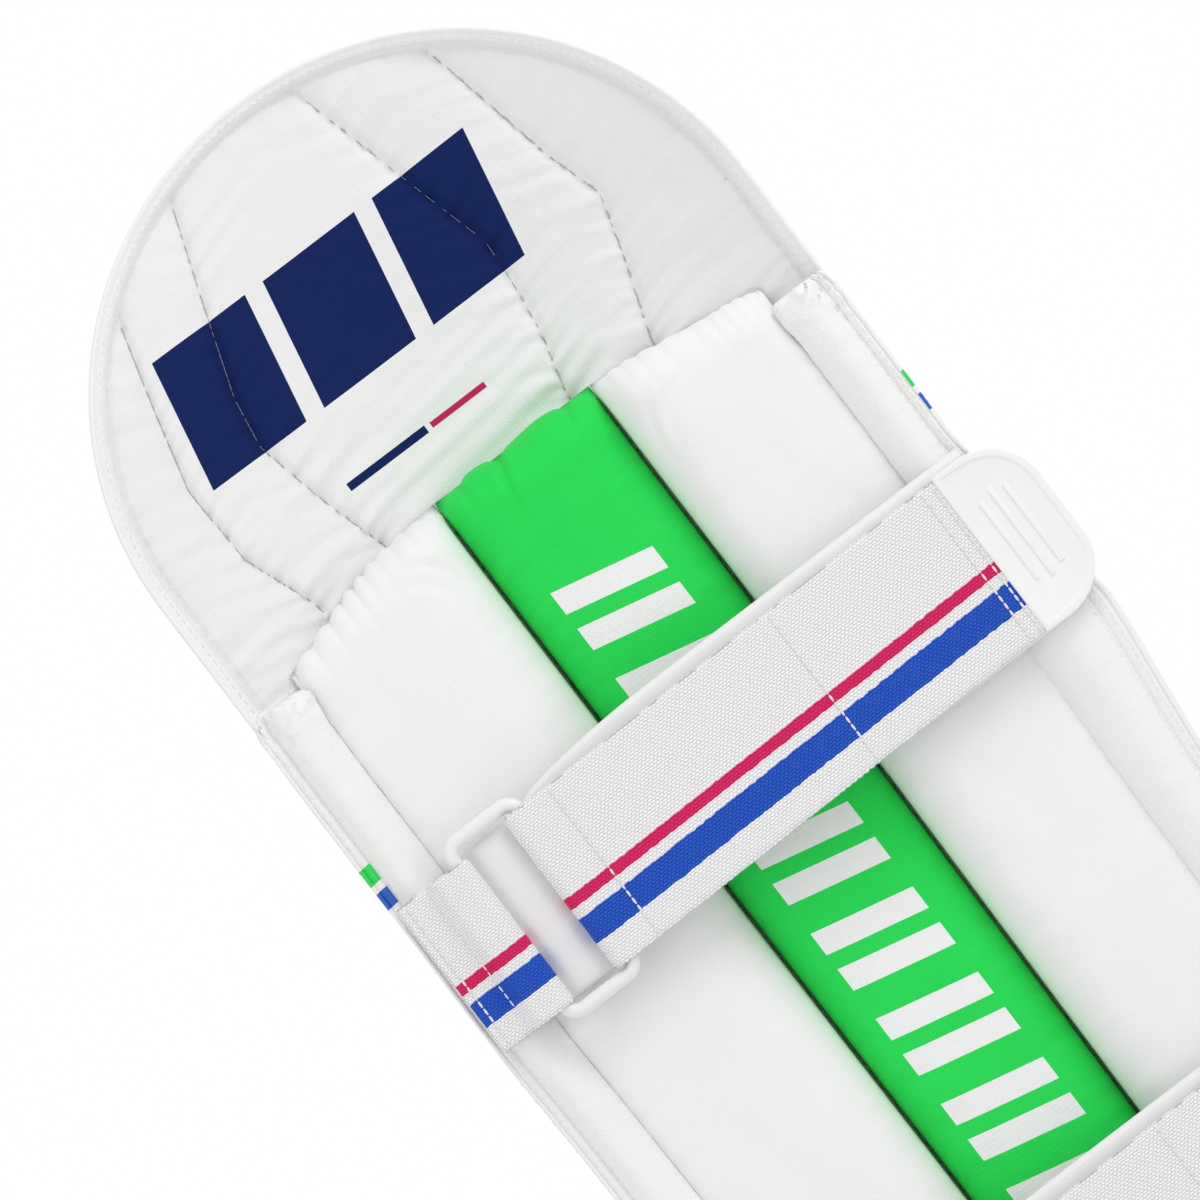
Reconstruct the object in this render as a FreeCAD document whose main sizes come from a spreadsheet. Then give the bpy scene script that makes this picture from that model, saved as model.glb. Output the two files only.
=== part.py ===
"""Cricket leg pad: shin ribs, knee rolls, leg-side bolsters, side wings, a hinged top flap and three straps.

The pad stands upright on its base: +Z runs up the leg, +Y is the side that faces the ball, -Y is the leg side
with the straps, and +X is to the right as the straps are looked at. In plan every layer is an arc about one
vertical axis, back_radius behind the front face of the backing board, and each body has its origin on it.
"""
import FreeCAD, Part
import os
import Sketcher
from FreeCAD import Placement, Rotation, Vector

doc = FreeCAD.newDocument("leg_pad")

# Driving sizes in millimetres and degrees. Heights are from the base, angles from the middle of the pad.
SIZES = {
    # whole pad
    "shin_height": 400, "flap_height": 177, "hinge_gap": 3, "back_radius": 260, "half_angle": 23.5,
    "ankle_scale": 0.88, "fit_gap": 0.3,
    # shin ribs, their canes and the instep arch
    "backing_thickness": 9.7, "rib_edge_inset": 0.6, "rib_side_depth": 17, "rib_depth": 26,
    "cane_radius": 4.5, "cane_seat": 11, "cane_base": 48, "cane_cover": 8,
    "arch_radius": 53.2, "arch_drop": 18.2, "arch_binding": 1.5, "binding_overhang": 1,
    # knee rolls
    "roll_height": 46.67, "roll_side_depth": 26, "roll_depth": 46, "cover_wall": 2,
    # leg-side bolsters and the band between them
    "cushion_base": 45, "cushion_rise": 26, "band_left": 29, "band_right": 37, "band_side": 14,
    "band_crown": 6, "bolster_side": 7, "bolster_crown": 8, "bolster_gap": 3.6,
    # side wings
    "wing_thickness": 19, "wing_round": 6, "wing_corner_gap": 1, "edge_binding": 2.2,
    "wing_flare": 10, "flare_end": 50, "flare_peak": 10, "flare_start": 80,
    # top flap
    "flap_rib_side": 11, "flap_rib_depth": 20, "flap_bevel": 20, "flap_binding": 3, "flap_cane_radius": 3,
    "flap_cane_seat": 8, "flap_cane_cover": 22, "flap_spare_angle": 1,
    "far_left_seam": -19.3, "left_seam": -12.4, "right_seam": 7.1, "far_right_seam": 16.1,
    # straps, loops and pull tabs
    "knee_strap_rise": 41, "calf_strap_height": 228, "ankle_strap_height": 88, "webbing_width": 62.5,
    "webbing_thickness": 1.6, "strap_clearance": 5, "strap_inset": 2, "bar_radius": 2.5,
    "loop_width": 28, "loop_inset": 8.4, "loop_corner": 5, "loop_side_gap": 1.1, "fold_slack": 2.6,
    "fold_overlap": 2, "fold_bevel": 2.8, "tab_inset": 3, "tab_slope": 12, "end_inset": 12,
    "patch_length": 48, "patch_inset": 3, "patch_thickness": 1, "patch_margin": 4,
    "pull_length": 27, "pull_width": 64, "pull_thickness": 3, "pull_corner": 20, "pull_rim": 2.5,
    "pull_recess": 0.6,
}
dims = doc.addObject("Spreadsheet::Sheet", "dims")
for row, (alias, size) in enumerate(SIZES.items(), start=1):
    dims.set(f"A{row}", alias)
    dims.set(f"B{row}", str(size))
    dims.setAlias(f"B{row}", alias)
doc.recompute()

ROLL_NAMES = ["bottom", "middle", "top"]

# Places that several pieces share, worked out from the driving sizes. Depths are distances from the arc axis.
PLACES = {
    "knee_top": f"dims.shin_height + {len(ROLL_NAMES)} * dims.roll_height",
    "hinge_height": "places.knee_top + dims.hinge_gap",
    "flap_base": "places.hinge_height + dims.fit_gap",
    "flap_top": "places.hinge_height + dims.flap_height",
    "backing_top": "places.hinge_height - dims.fit_gap",
    "cushion_top": "places.hinge_height + dims.cushion_rise",
    "knee_strap_height": "dims.shin_height + dims.knee_strap_rise",
    "backing_front": "dims.back_radius - dims.fit_gap",
    "backing_rear": "dims.back_radius - dims.fit_gap - dims.backing_thickness",
    "cushion_front": "places.backing_rear - dims.fit_gap",
    "gap_angle": "dims.fit_gap / dims.back_radius * 180 / pi",
    "rib_angle": "dims.half_angle - dims.rib_edge_inset",
    "wing_low": "places.backing_front * sin(dims.half_angle * dims.ankle_scale) + dims.fit_gap",
    "wing_high": "places.backing_front * sin(dims.half_angle) + dims.fit_gap",
    "bolster_edge": "places.wing_high - dims.fit_gap - dims.bolster_gap",
    "bolster_floor": "sqrt(places.cushion_front ^ 2 - places.bolster_edge ^ 2) - dims.bolster_side",
    "strap_front": "places.bolster_floor - dims.bolster_crown - dims.strap_clearance",
    "strap_rear": "places.strap_front - dims.webbing_thickness",
    "bar_depth": "places.strap_rear - dims.fit_gap - dims.bar_radius",
    "peel_depth": "places.strap_rear - 2 * dims.fit_gap - 2 * dims.bar_radius - dims.webbing_thickness / 2",
    "wing_rear": "places.strap_front + dims.fit_gap",
    "flap_half_width": "places.wing_high + dims.wing_thickness",
    "flap_edge_angle": "asin(places.flap_half_width / places.backing_rear) / 1deg + dims.flap_spare_angle",
}
places = doc.addObject("App::VarSet", "places")
for name, formula in PLACES.items():
    places.addProperty("App::PropertyFloat", name)
    places.setExpression(name, formula)
    doc.recompute()


def number(formula):
    """The present value of a formula on the sheet and the shared places."""
    value = dims.evalExpression(formula)
    return float(getattr(value, "Value", value))


def new_body(label):
    """A body whose origin lies on the arc axis of the pad."""
    body = doc.addObject("PartDesign::Body", label)
    body.Label = label
    body.setExpression("Placement.Base.y", "-dims.back_radius")
    return body


def new_sketch(body, role, offset="0"):
    """An empty sketch on one of the body's origin planes, moved along the plane's normal by a formula."""
    sketch = body.newObject("Sketcher::SketchObject", body.Label + "_sketch")
    plane = [feature for feature in body.Origin.OriginFeatures if feature.Role == role][0]
    sketch.AttachmentSupport = [(plane, "")]
    sketch.MapMode = "FlatFace"
    sketch.setExpression("AttachmentOffset.Base.z", offset)
    return sketch


def bind(sketch, kind, *geometry, to):
    """Adds one dimension to a sketch and binds it to a formula."""
    index = sketch.addConstraint(Sketcher.Constraint(kind, *geometry, number(to)))
    sketch.setExpression(f"Constraints[{index}]", to)


def arc_between(start, end, radius, side):
    """The shorter arc from start to end, with its centre to the left (side 1) or right (side -1)."""
    along = end - start
    to_centre = Vector(-along.y, along.x, 0).normalize() * side
    reach = max(radius ** 2 - along.Length ** 2 / 4, 0) ** 0.5
    middle = (start + end) / 2 + to_centre * (reach - radius)
    return Part.Arc(start, middle, end)


def draw_outline(sketch, corners):
    """A closed outline through corners (x, y). A corner (x, y, radius, side) starts an arc, not a line."""
    points = [Vector(number(corner[0]), number(corner[1]), 0) for corner in corners]
    ends = []
    for index, corner in enumerate(corners):
        start = points[index]
        end = points[(index + 1) % len(points)]
        if len(corner) == 2:
            edge = sketch.addGeometry(Part.LineSegment(start, end), False)
        else:
            edge = sketch.addGeometry(arc_between(start, end, number(corner[2]), corner[3]), False)
            bind(sketch, "Radius", edge, to=corner[2])
        flipped = (sketch.getPoint(edge, 1) - start).Length > (sketch.getPoint(edge, 2) - start).Length
        ends.append((edge, 2, 1) if flipped else (edge, 1, 2))
    for index, corner in enumerate(corners):
        edge, first, last = ends[index]
        following, following_first, _ = ends[(index + 1) % len(ends)]
        bind(sketch, "DistanceX", -1, 1, edge, first, to=corner[0])
        bind(sketch, "DistanceY", -1, 1, edge, first, to=corner[1])
        sketch.addConstraint(Sketcher.Constraint("Coincident", edge, last, following, following_first))


def draw_circle(sketch, x, y, radius):
    """A circle with its centre and radius bound to formulas."""
    edge = sketch.addGeometry(Part.Circle(Vector(number(x), number(y), 0), Vector(0, 0, 1), number(radius)))
    bind(sketch, "Radius", edge, to=radius)
    bind(sketch, "DistanceX", -1, 1, edge, 3, to=x)
    bind(sketch, "DistanceY", -1, 1, edge, 3, to=y)


def section(body, height, corners):
    """A closed plan outline at a height."""
    sketch = new_sketch(body, "XY_Plane", height)
    draw_outline(sketch, corners)
    return sketch


def loft(body, kind, sections):
    """A straight-sided loft through plan sections, which adds to the body or cuts from it."""
    feature = body.newObject("PartDesign::" + kind, body.Label + "_loft")
    feature.Profile = sections[0]
    feature.Sections = [(sketch, "") for sketch in sections[1:]]
    feature.Ruled = True
    return feature


def extrude(body, kind, sketch, length, both_ways=False):
    """A pad or pocket of a sketch, along its plane's normal or evenly to both sides of it."""
    feature = body.newObject("PartDesign::" + kind, body.Label + "_" + kind.lower())
    feature.Profile = sketch
    feature.setExpression("Length", length)
    feature.SideType = "Symmetric" if both_ways else "One side"
    return feature


def revolve(body, kind, sketch, angle):
    """A revolution or groove about the arc axis, evenly to both sides of the middle of the pad."""
    feature = body.newObject("PartDesign::" + kind, body.Label + "_" + kind.lower())
    feature.Profile = sketch
    feature.ReferenceAxis = (sketch, ["V_Axis"])
    feature.setExpression("Angle", angle)
    feature.Midplane = True
    return feature


def taper(height):
    """How far the width has narrowed towards the ankle at a height."""
    return f"(dims.ankle_scale + (1 - dims.ankle_scale) * min(1; ({height}) / dims.shin_height))"


def wing_inside(height):
    """How far from the middle the inner face of a wing stands at a height."""
    return f"(places.wing_low + (places.wing_high - places.wing_low) * min(1; ({height}) / dims.shin_height))"


def polar(radius, angle):
    """Plan coordinates of a point at a distance from the arc axis and an angle from the middle."""
    return f"({radius}) * sin({angle})", f"({radius}) * cos({angle})"


def sector(inner, outer, start, end, crown=None):
    """A ring sector between two angles. With a crown, its outer edge swells to that radius half way."""
    edge_radius = outer
    if crown:
        half_chord = f"(({outer}) * sin((({end}) - ({start})) / 2))"
        swell = f"(({crown}) - ({outer}) * cos((({end}) - ({start})) / 2))"
        edge_radius = f"({half_chord} ^ 2 + {swell} ^ 2) / (2 * {swell})"
    return [
        (*polar(inner, start), inner, -1),
        polar(inner, end),
        (*polar(outer, end), edge_radius, 1),
        polar(outer, start),
    ]


def cut_arch(body):
    """Cuts the instep arch through a body, from front to back."""
    sketch = new_sketch(body, "XZ_Plane")
    draw_circle(sketch, "0", "-dims.arch_drop", "dims.arch_radius")
    extrude(body, "Pocket", sketch, "4 * dims.back_radius", both_ways=True)


def straight_slot(body, kind, radius, ends):
    """A round bar or bore between two points (x, depth, height)."""
    sections = []
    for x, depth, height in ends:
        sketch = new_sketch(body, "XY_Plane", height)
        draw_circle(sketch, x, depth, radius)
        sections.append(sketch)
    return loft(body, kind, sections)


# Backing board: padded board behind the ribs, which everything else is sewn or glued to.
backing = new_body("backing_board")
LEVELS = ["0", "dims.shin_height", "places.backing_top"]
board_sections = []
for level in LEVELS:
    edge = f"dims.half_angle * {taper(level)}"
    corners = sector("places.backing_rear", "places.backing_front", f"-{edge}", edge)
    board_sections.append(section(backing, level, corners))
loft(backing, "AdditiveLoft", board_sections)
cut_arch(backing)

# Shin ribs: seven stuffed channels side by side, each stiffened by a cane; they narrow towards the ankle.
RIB_COUNT = 7
canes = []
for rib_number in range(1, RIB_COUNT + 1):
    rib = new_body(f"shin_rib_{rib_number}")
    left_share = 2 * (rib_number - 1) / RIB_COUNT - 1
    right_share = 2 * rib_number / RIB_COUNT - 1
    rib_sections = []
    for level in LEVELS[:2]:
        start = f"places.rib_angle * {left_share} * {taper(level)} + places.gap_angle / 2"
        end = f"places.rib_angle * {right_share} * {taper(level)} - places.gap_angle / 2"
        corners = sector("dims.back_radius", "dims.back_radius + dims.rib_side_depth", start, end,
                         crown="dims.back_radius + dims.rib_depth")
        rib_sections.append(section(rib, level, corners))
    loft(rib, "AdditiveLoft", rib_sections)
    if 1 < rib_number < RIB_COUNT:
        cut_arch(rib)
    middle_share = (left_share + right_share) / 2
    cane_ends = []
    for level in ["dims.cane_base", "dims.shin_height - dims.cane_cover"]:
        angle = f"places.rib_angle * {middle_share} * {taper(level)}"
        cane_ends.append((*polar("dims.back_radius + dims.cane_seat", angle), level))
    straight_slot(rib, "SubtractiveLoft", "dims.cane_radius + dims.fit_gap", cane_ends)
    cane = new_body(f"cane_{rib_number}")
    straight_slot(cane, "AdditiveLoft", "dims.cane_radius", cane_ends)
    canes.append(cane)

# The seven canes are one group.
shin_canes = doc.addObject("Part::Compound", "shin_canes")
shin_canes.Label = "shin_canes"
shin_canes.Links = canes

# Instep binding: a strip that finishes the raw edge of the arch, round all the layers it passes through.
instep = new_body("instep_binding")
instep_reach = "asin(dims.arch_radius / places.backing_rear)"
corners = sector("places.backing_rear - dims.binding_overhang", "dims.back_radius + dims.rib_side_depth",
                 f"-{instep_reach}", instep_reach)
extrude(instep, "Pad", section(instep, "0", corners), "dims.arch_radius")
sketch = new_sketch(instep, "XZ_Plane")
frame_half = "2 * dims.arch_radius"
draw_outline(sketch, [(f"-{frame_half}", f"-{frame_half}"), (frame_half, f"-{frame_half}"),
                      (frame_half, frame_half), (f"-{frame_half}", frame_half)])
draw_circle(sketch, "0", "-dims.arch_drop", "dims.arch_radius - dims.fit_gap")
draw_circle(sketch, "0", "-dims.arch_drop", "dims.arch_radius - dims.fit_gap - dims.arch_binding")
extrude(instep, "Pocket", sketch, "4 * dims.back_radius", both_ways=True)

# Knee rolls: three stuffed rolls across the knee, each a sewn cover round a foam core.
for roll_number, roll_name in enumerate(ROLL_NAMES):
    cover = new_body(f"knee_roll_{roll_name}")
    core = new_body(f"knee_core_{roll_name}")
    lower = f"dims.shin_height + {roll_number} * dims.roll_height"
    upper = f"dims.shin_height + {roll_number + 1} * dims.roll_height"
    for body, kind, margin, turn in [
        (cover, "Revolution", "dims.fit_gap / 2", "places.rib_angle"),
        (cover, "Groove", "dims.cover_wall", "places.rib_angle - 2 * places.gap_angle * dims.cover_wall"),
        (core, "Revolution", "dims.cover_wall + dims.fit_gap",
         "places.rib_angle - 3 * places.gap_angle * dims.cover_wall"),
    ]:
        inner = f"dims.back_radius + {margin}"
        side = f"dims.back_radius + dims.roll_side_depth - ({margin})"
        half_chord = f"(dims.roll_height / 2 - ({margin}))"
        swell = "(dims.roll_depth - dims.roll_side_depth)"
        crown_radius = f"({half_chord} ^ 2 + {swell} ^ 2) / (2 * {swell})"
        sketch = new_sketch(body, "YZ_Plane")
        draw_outline(sketch, [(inner, f"{lower} + {margin}"),
                              (side, f"{lower} + {margin}", crown_radius, 1),
                              (side, f"{upper} - ({margin})"),
                              (inner, f"{upper} - ({margin})")])
        revolve(body, kind, sketch, f"2 * ({turn})")


def cushion_section(body, height, left, right, floor, crown, inset):
    """A cushion's plan outline: its front fits the backing board and its rear swells towards the leg."""
    left_edge = f"(({left}) * {taper(height)} + {inset})"
    right_edge = f"(({right}) * {taper(height)} - {inset})"
    front = f"(places.cushion_front - {inset})"
    half_chord = f"(({right_edge} - {left_edge}) / 2)"
    crown_radius = f"({half_chord} ^ 2 + ({crown}) ^ 2) / (2 * ({crown}))"
    return section(body, height, [
        (left_edge, f"sqrt({front} ^ 2 - {left_edge} ^ 2)", front, -1),
        (right_edge, f"sqrt({front} ^ 2 - {right_edge} ^ 2)"),
        (right_edge, f"{floor} + {inset}", crown_radius, -1),
        (left_edge, f"{floor} + {inset}"),
    ])


# Bolsters and centre band: long cushions against the leg, each a cover round a foam core.
BAND_FLOOR = "sqrt(places.cushion_front ^ 2 - dims.band_right ^ 2) - dims.band_side"
CUSHIONS = {
    "left_bolster": ("-places.bolster_edge", "-dims.band_left - dims.fit_gap / 2", "places.bolster_floor",
                     "dims.bolster_crown"),
    "centre_band": ("-dims.band_left + dims.fit_gap / 2", "dims.band_right - dims.fit_gap / 2", BAND_FLOOR,
                    "dims.band_crown"),
    "right_bolster": ("dims.band_right + dims.fit_gap / 2", "places.bolster_edge", "places.bolster_floor",
                      "dims.bolster_crown"),
}
for name, (left, right, floor, crown) in CUSHIONS.items():
    cover = new_body(name)
    core = new_body(name + "_core")
    for body, kind, inset in [(cover, "AdditiveLoft", "0"), (cover, "SubtractiveLoft", "dims.cover_wall"),
                              (core, "AdditiveLoft", "(dims.cover_wall + dims.fit_gap)")]:
        heights = [f"dims.cushion_base + {inset}", "dims.shin_height", f"places.cushion_top - {inset}"]
        loft(body, kind, [cushion_section(body, height, left, right, floor, crown, inset)
                          for height in heights])


def wing_sections(body, side, levels, rear, front_corner):
    """Plan sections of a wing (front_corner True) or of the binding strip along its rear edge."""
    sketches = []
    for level, flare in levels:
        inner = wing_inside(level)
        outer = f"({inner} + dims.wing_thickness + {flare})"
        left, right = (inner, outer) if side > 0 else (f"-{outer}", f"-{inner}")
        if front_corner:
            corner = f"({inner} / tan(places.rib_angle * {taper(level)}) - dims.wing_corner_gap)"
            half = f"((dims.wing_thickness + {flare}) / 2)"
            radius = f"({half} ^ 2 + dims.wing_round ^ 2) / (2 * dims.wing_round)"
            corners = [(left, rear), (right, rear), (right, corner, radius, 1), (left, corner)]
        else:
            top = f"{rear} + dims.edge_binding"
            corners = [(left, rear), (right, rear), (right, top), (left, top)]
        sketches.append(section(body, level, corners))
    return sketches


# Side wings and their edge bindings. The right wing flares out just under the knee strap.
WING_LEVELS = {
    "left": [("0", "0"), ("dims.shin_height", "0"), ("places.knee_top", "0")],
    "right": [("0", "0"), ("dims.shin_height - dims.flare_end", "dims.wing_flare / 2"),
              ("dims.shin_height + dims.flare_peak", "dims.wing_flare"),
              ("dims.shin_height + dims.flare_start", "0"), ("places.knee_top", "0")],
}
for side_name, side in [("left", -1), ("right", 1)]:
    wing = new_body(f"{side_name}_wing")
    wing_floor = "places.wing_rear + dims.edge_binding + dims.fit_gap"
    loft(wing, "AdditiveLoft", wing_sections(wing, side, WING_LEVELS[side_name], wing_floor, True))
    binding = new_body(f"{side_name}_edge_binding")
    loft(binding, "AdditiveLoft",
         wing_sections(binding, side, WING_LEVELS[side_name], "places.wing_rear", False))


def trim_to_flap(body, outer_inset, inner_inset=None):
    """Trims a flap layer to the round-topped outline, and to a rim of it if an inner inset is given."""
    sketch = new_sketch(body, "XZ_Plane")
    frame = "(3 * places.flap_half_width)"
    top = "(places.flap_top + places.flap_half_width)"
    draw_outline(sketch, [(f"-{frame}", "dims.shin_height"), (frame, "dims.shin_height"), (frame, top),
                          (f"-{frame}", top)])
    centre = "(places.flap_top - places.flap_half_width)"
    floor = "dims.shin_height + dims.roll_height"
    for inset in [outer_inset] + ([inner_inset] if inner_inset else []):
        radius = f"(places.flap_half_width - {inset})"
        draw_outline(sketch, [(f"-{radius}", f"{floor} + {inset}"), (radius, f"{floor} + {inset}"),
                              (radius, centre, radius, 1),
                              ("0", f"{centre} + {radius}", radius, 1), (f"-{radius}", centre)])
    extrude(body, "Pocket", sketch, "4 * dims.back_radius", both_ways=True)


def flap_layer(label, inner, outer, start, end, crown=None):
    """A curved layer of the flap between two angles, not yet trimmed to its outline."""
    body = new_body(label)
    corners = sector(inner, outer, start, end, crown)
    extrude(body, "Pad", section(body, "places.flap_base", corners), "places.flap_top - places.flap_base")
    return body


# Top flap: a quilted lining and five ribs with canes, bound together round the edge.
LAYER_INSET = "(dims.flap_binding + dims.fit_gap)"
lining = flap_layer("flap_lining", "places.backing_rear", "places.backing_front",
                    "-places.flap_edge_angle", "places.flap_edge_angle")
trim_to_flap(lining, LAYER_INSET)

SEAM_ANGLES = ["-places.flap_edge_angle", "dims.far_left_seam", "dims.left_seam", "dims.right_seam",
               "dims.far_right_seam", "places.flap_edge_angle"]
flap_rods = []
for rib_number in range(1, len(SEAM_ANGLES)):
    start = f"({SEAM_ANGLES[rib_number - 1]} + places.gap_angle / 2)"
    end = f"({SEAM_ANGLES[rib_number]} - places.gap_angle / 2)"
    rib = flap_layer(f"flap_rib_{rib_number}", "dims.back_radius", "dims.back_radius + dims.flap_rib_side",
                     start, end, crown="dims.back_radius + dims.flap_rib_depth")
    # The foot slopes up towards the front, so that the flap can fold forward over the top knee roll.
    sketch = new_sketch(rib, "YZ_Plane")
    rise = "places.flap_base + dims.back_radius * tan(dims.flap_bevel)"
    draw_outline(sketch, [("dims.back_radius", "dims.shin_height"), ("2 * dims.back_radius", "dims.shin_height"),
                          ("2 * dims.back_radius", rise), ("dims.back_radius", "places.flap_base")])
    extrude(rib, "Pocket", sketch, "4 * dims.back_radius", both_ways=True)
    trim_to_flap(rib, LAYER_INSET)
    # The cane stands in the middle of the rib and ends under the rounded top edge.
    middle = f"(max({start}; -places.rib_angle) + min({end}; places.rib_angle)) / 2"
    x, depth = polar("dims.back_radius + dims.flap_cane_seat", middle)
    top = ("places.flap_top - places.flap_half_width - dims.flap_cane_cover"
           f" + sqrt(places.flap_half_width ^ 2 - ({x}) ^ 2)")
    rod_ends = [(x, depth, "places.flap_base + dims.flap_cane_cover"), (x, depth, top)]
    straight_slot(rib, "SubtractiveLoft", "dims.flap_cane_radius + dims.fit_gap", rod_ends)
    rod = new_body(f"flap_cane_{rib_number}")
    straight_slot(rod, "AdditiveLoft", "dims.flap_cane_radius", rod_ends)
    flap_rods.append(rod)
flap_canes = doc.addObject("Part::Compound", "flap_canes")
flap_canes.Label = "flap_canes"
flap_canes.Links = flap_rods

flap_binding = flap_layer("flap_binding", "places.backing_rear - dims.binding_overhang",
                          "dims.back_radius + dims.flap_rib_side",
                          "-places.flap_edge_angle", "places.flap_edge_angle")
trim_to_flap(flap_binding, "0", "dims.flap_binding")


def place_on_strap(body, peel_x, height, slope):
    """Moves a body's origin to the peel axis at the strap's height and turns it along the strap's end."""
    body.Placement = Placement(Vector(), Rotation(Vector(0, 0, 1), 1))
    body.setExpression("Placement.Base.x", peel_x)
    body.setExpression("Placement.Base.y", "places.peel_depth - dims.back_radius")
    body.setExpression("Placement.Base.z", height)
    body.setExpression("Placement.Rotation.Angle", slope)


# Straps: each is sewn to the right wing, runs across the leg side, turns back round the free bar of a loop
# and closes on itself with a hook patch. A short tab holds the loop's other bar on the left wing.
STRAP_HEIGHTS = {"knee": "places.knee_strap_height", "calf": "dims.calf_strap_height",
                 "ankle": "dims.ankle_strap_height"}
HALF_WIDTH = "dims.webbing_width / 2"
WRAP = "(dims.bar_radius + dims.fit_gap)"
OUTER_WRAP = "(dims.bar_radius + dims.fit_gap + dims.webbing_thickness)"
for name, height in STRAP_HEIGHTS.items():
    inside = wing_inside(height)
    held_bar = f"(-{inside} + dims.loop_inset)"
    free_bar = f"({held_bar} + dims.loop_width)"
    sewn_end = f"({inside} + dims.wing_thickness - dims.strap_inset)"
    fold = f"({free_bar} - dims.fold_slack)"
    fold_end = f"({free_bar} + dims.fold_overlap)"
    peel_x = f"({fold_end} + dims.fit_gap + dims.webbing_thickness / 2)"
    end_length = f"({inside} + dims.wing_thickness - dims.end_inset - {peel_x})"
    slope = f"asin((2 * {WRAP} - dims.patch_thickness - dims.fit_gap) / {end_length})"

    # The strap itself: the layer against the pad and the turn round the free bar.
    strap = new_body(f"{name}_strap")
    corners = [
        (sewn_end, "places.strap_rear"),
        (sewn_end, "places.strap_front"),
        (fold, "places.strap_front", OUTER_WRAP, 1),
        (f"{fold} - {OUTER_WRAP}", "places.bar_depth", OUTER_WRAP, 1),
        (fold, f"places.bar_depth - {OUTER_WRAP}"),
        (f"{fold_end} - dims.fold_bevel", f"places.bar_depth - {OUTER_WRAP}"),
        (fold_end, f"places.bar_depth - {WRAP}"),
        (fold, f"places.bar_depth - {WRAP}", WRAP, -1),
        (f"{fold} - {WRAP}", "places.bar_depth", WRAP, -1),
        (fold, "places.strap_rear"),
    ]
    extrude(strap, "Pad", section(strap, f"{height} - {HALF_WIDTH}", corners), "dims.webbing_width")

    # The end that peels open, drawn along its own length from the peel axis.
    strap_end = new_body(f"{name}_strap_end")
    place_on_strap(strap_end, peel_x, height, slope)
    half = "dims.webbing_thickness / 2"
    corners = [("0", f"-{half}"), (end_length, f"-{half}"), (end_length, half),
               ("0", half, half, 1), (f"-{half}", "0", half, 1)]
    extrude(strap_end, "Pad", section(strap_end, f"-{HALF_WIDTH}", corners), "dims.webbing_width")

    hook_patch = new_body(f"{name}_hook_patch")
    place_on_strap(hook_patch, peel_x, height, slope)
    patch_end = f"{end_length} - dims.patch_inset"
    corners = [(f"{patch_end} - dims.patch_length", half), (patch_end, half),
               (patch_end, f"{half} + dims.patch_thickness"),
               (f"{patch_end} - dims.patch_length", f"{half} + dims.patch_thickness")]
    patch_width = "dims.webbing_width - 2 * dims.patch_margin"
    extrude(hook_patch, "Pad", section(hook_patch, f"-({patch_width}) / 2", corners), patch_width)

    # The moulded pull tab: a plate with two large corner rounds and a raised rim.
    pull_tab = new_body(f"{name}_pull_tab")
    place_on_strap(pull_tab, peel_x, height, slope)
    for kind, inset, length in [("Pad", "0", "dims.pull_thickness"), ("Pocket", "dims.pull_rim", None)]:
        offset = "-dims.pull_thickness / 2" if kind == "Pad" else "dims.pull_thickness / 2 - dims.pull_recess"
        sketch = new_sketch(pull_tab, "XZ_Plane", offset)
        near = f"{end_length} + {inset}"
        far = f"{end_length} + dims.pull_length - {inset}"
        side = f"(dims.pull_width / 2 - {inset})"
        round_radius = f"(dims.pull_corner - {inset})"
        draw_outline(sketch, [(near, f"-{side}"), (f"{far} - {round_radius}", f"-{side}", round_radius, 1),
                              (far, f"-{side} + {round_radius}"),
                              (far, f"{side} - {round_radius}", round_radius, 1),
                              (f"{far} - {round_radius}", side), (near, side)])
        feature = extrude(pull_tab, kind, sketch, length or "dims.pull_recess")
        feature.Reversed = kind == "Pocket"

    # The moulded loop: a round bar bent into a rectangle with rounded corners.
    loop = new_body(f"{name}_loop")
    loop.setExpression("Placement.Base.x", f"{held_bar} + dims.loop_width / 2")
    loop.setExpression("Placement.Base.y", "places.bar_depth - dims.back_radius")
    loop.setExpression("Placement.Base.z", height)
    across = "(dims.loop_width / 2)"
    up = f"({HALF_WIDTH} + dims.loop_side_gap + dims.bar_radius)"
    corner = "dims.loop_corner"
    path = new_sketch(loop, "XZ_Plane")
    draw_outline(path, [(f"-{across}", "0"), (f"-{across}", f"{up} - {corner}", corner, -1),
                        (f"-{across} + {corner}", up), (f"{across} - {corner}", up, corner, -1),
                        (across, f"{up} - {corner}"), (across, f"-{up} + {corner}", corner, -1),
                        (f"{across} - {corner}", f"-{up}"), (f"-{across} + {corner}", f"-{up}", corner, -1),
                        (f"-{across}", f"-{up} + {corner}")])
    profile = new_sketch(loop, "XY_Plane")
    draw_circle(profile, f"-{across}", "0", "dims.bar_radius")
    pipe = loop.newObject("PartDesign::AdditivePipe", f"{name}_loop_pipe")
    pipe.Profile = profile
    pipe.Spine = path

    # The loop tab: webbing doubled round the held bar and sewn to the left wing.
    tab = new_body(f"{name}_loop_tab")
    tab_width = f"2 * ({up} - {corner}) - dims.fit_gap"
    tab_end = f"(-{inside} - dims.wing_thickness + dims.tab_inset)"
    doubled = "places.strap_front - 2 * dims.webbing_thickness"
    sketch = section(tab, f"{height} - ({tab_width}) / 2", [
        (f"{held_bar} - dims.tab_slope", doubled),
        (held_bar, f"places.bar_depth - {OUTER_WRAP}", OUTER_WRAP, 1),
        (f"{held_bar} + {OUTER_WRAP}", "places.bar_depth", OUTER_WRAP, 1),
        (held_bar, "places.strap_front"),
        (tab_end, "places.strap_front"),
        (tab_end, doubled),
    ])
    draw_circle(sketch, held_bar, "places.bar_depth", WRAP)
    extrude(tab, "Pad", sketch, tab_width)

doc.recompute()

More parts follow.
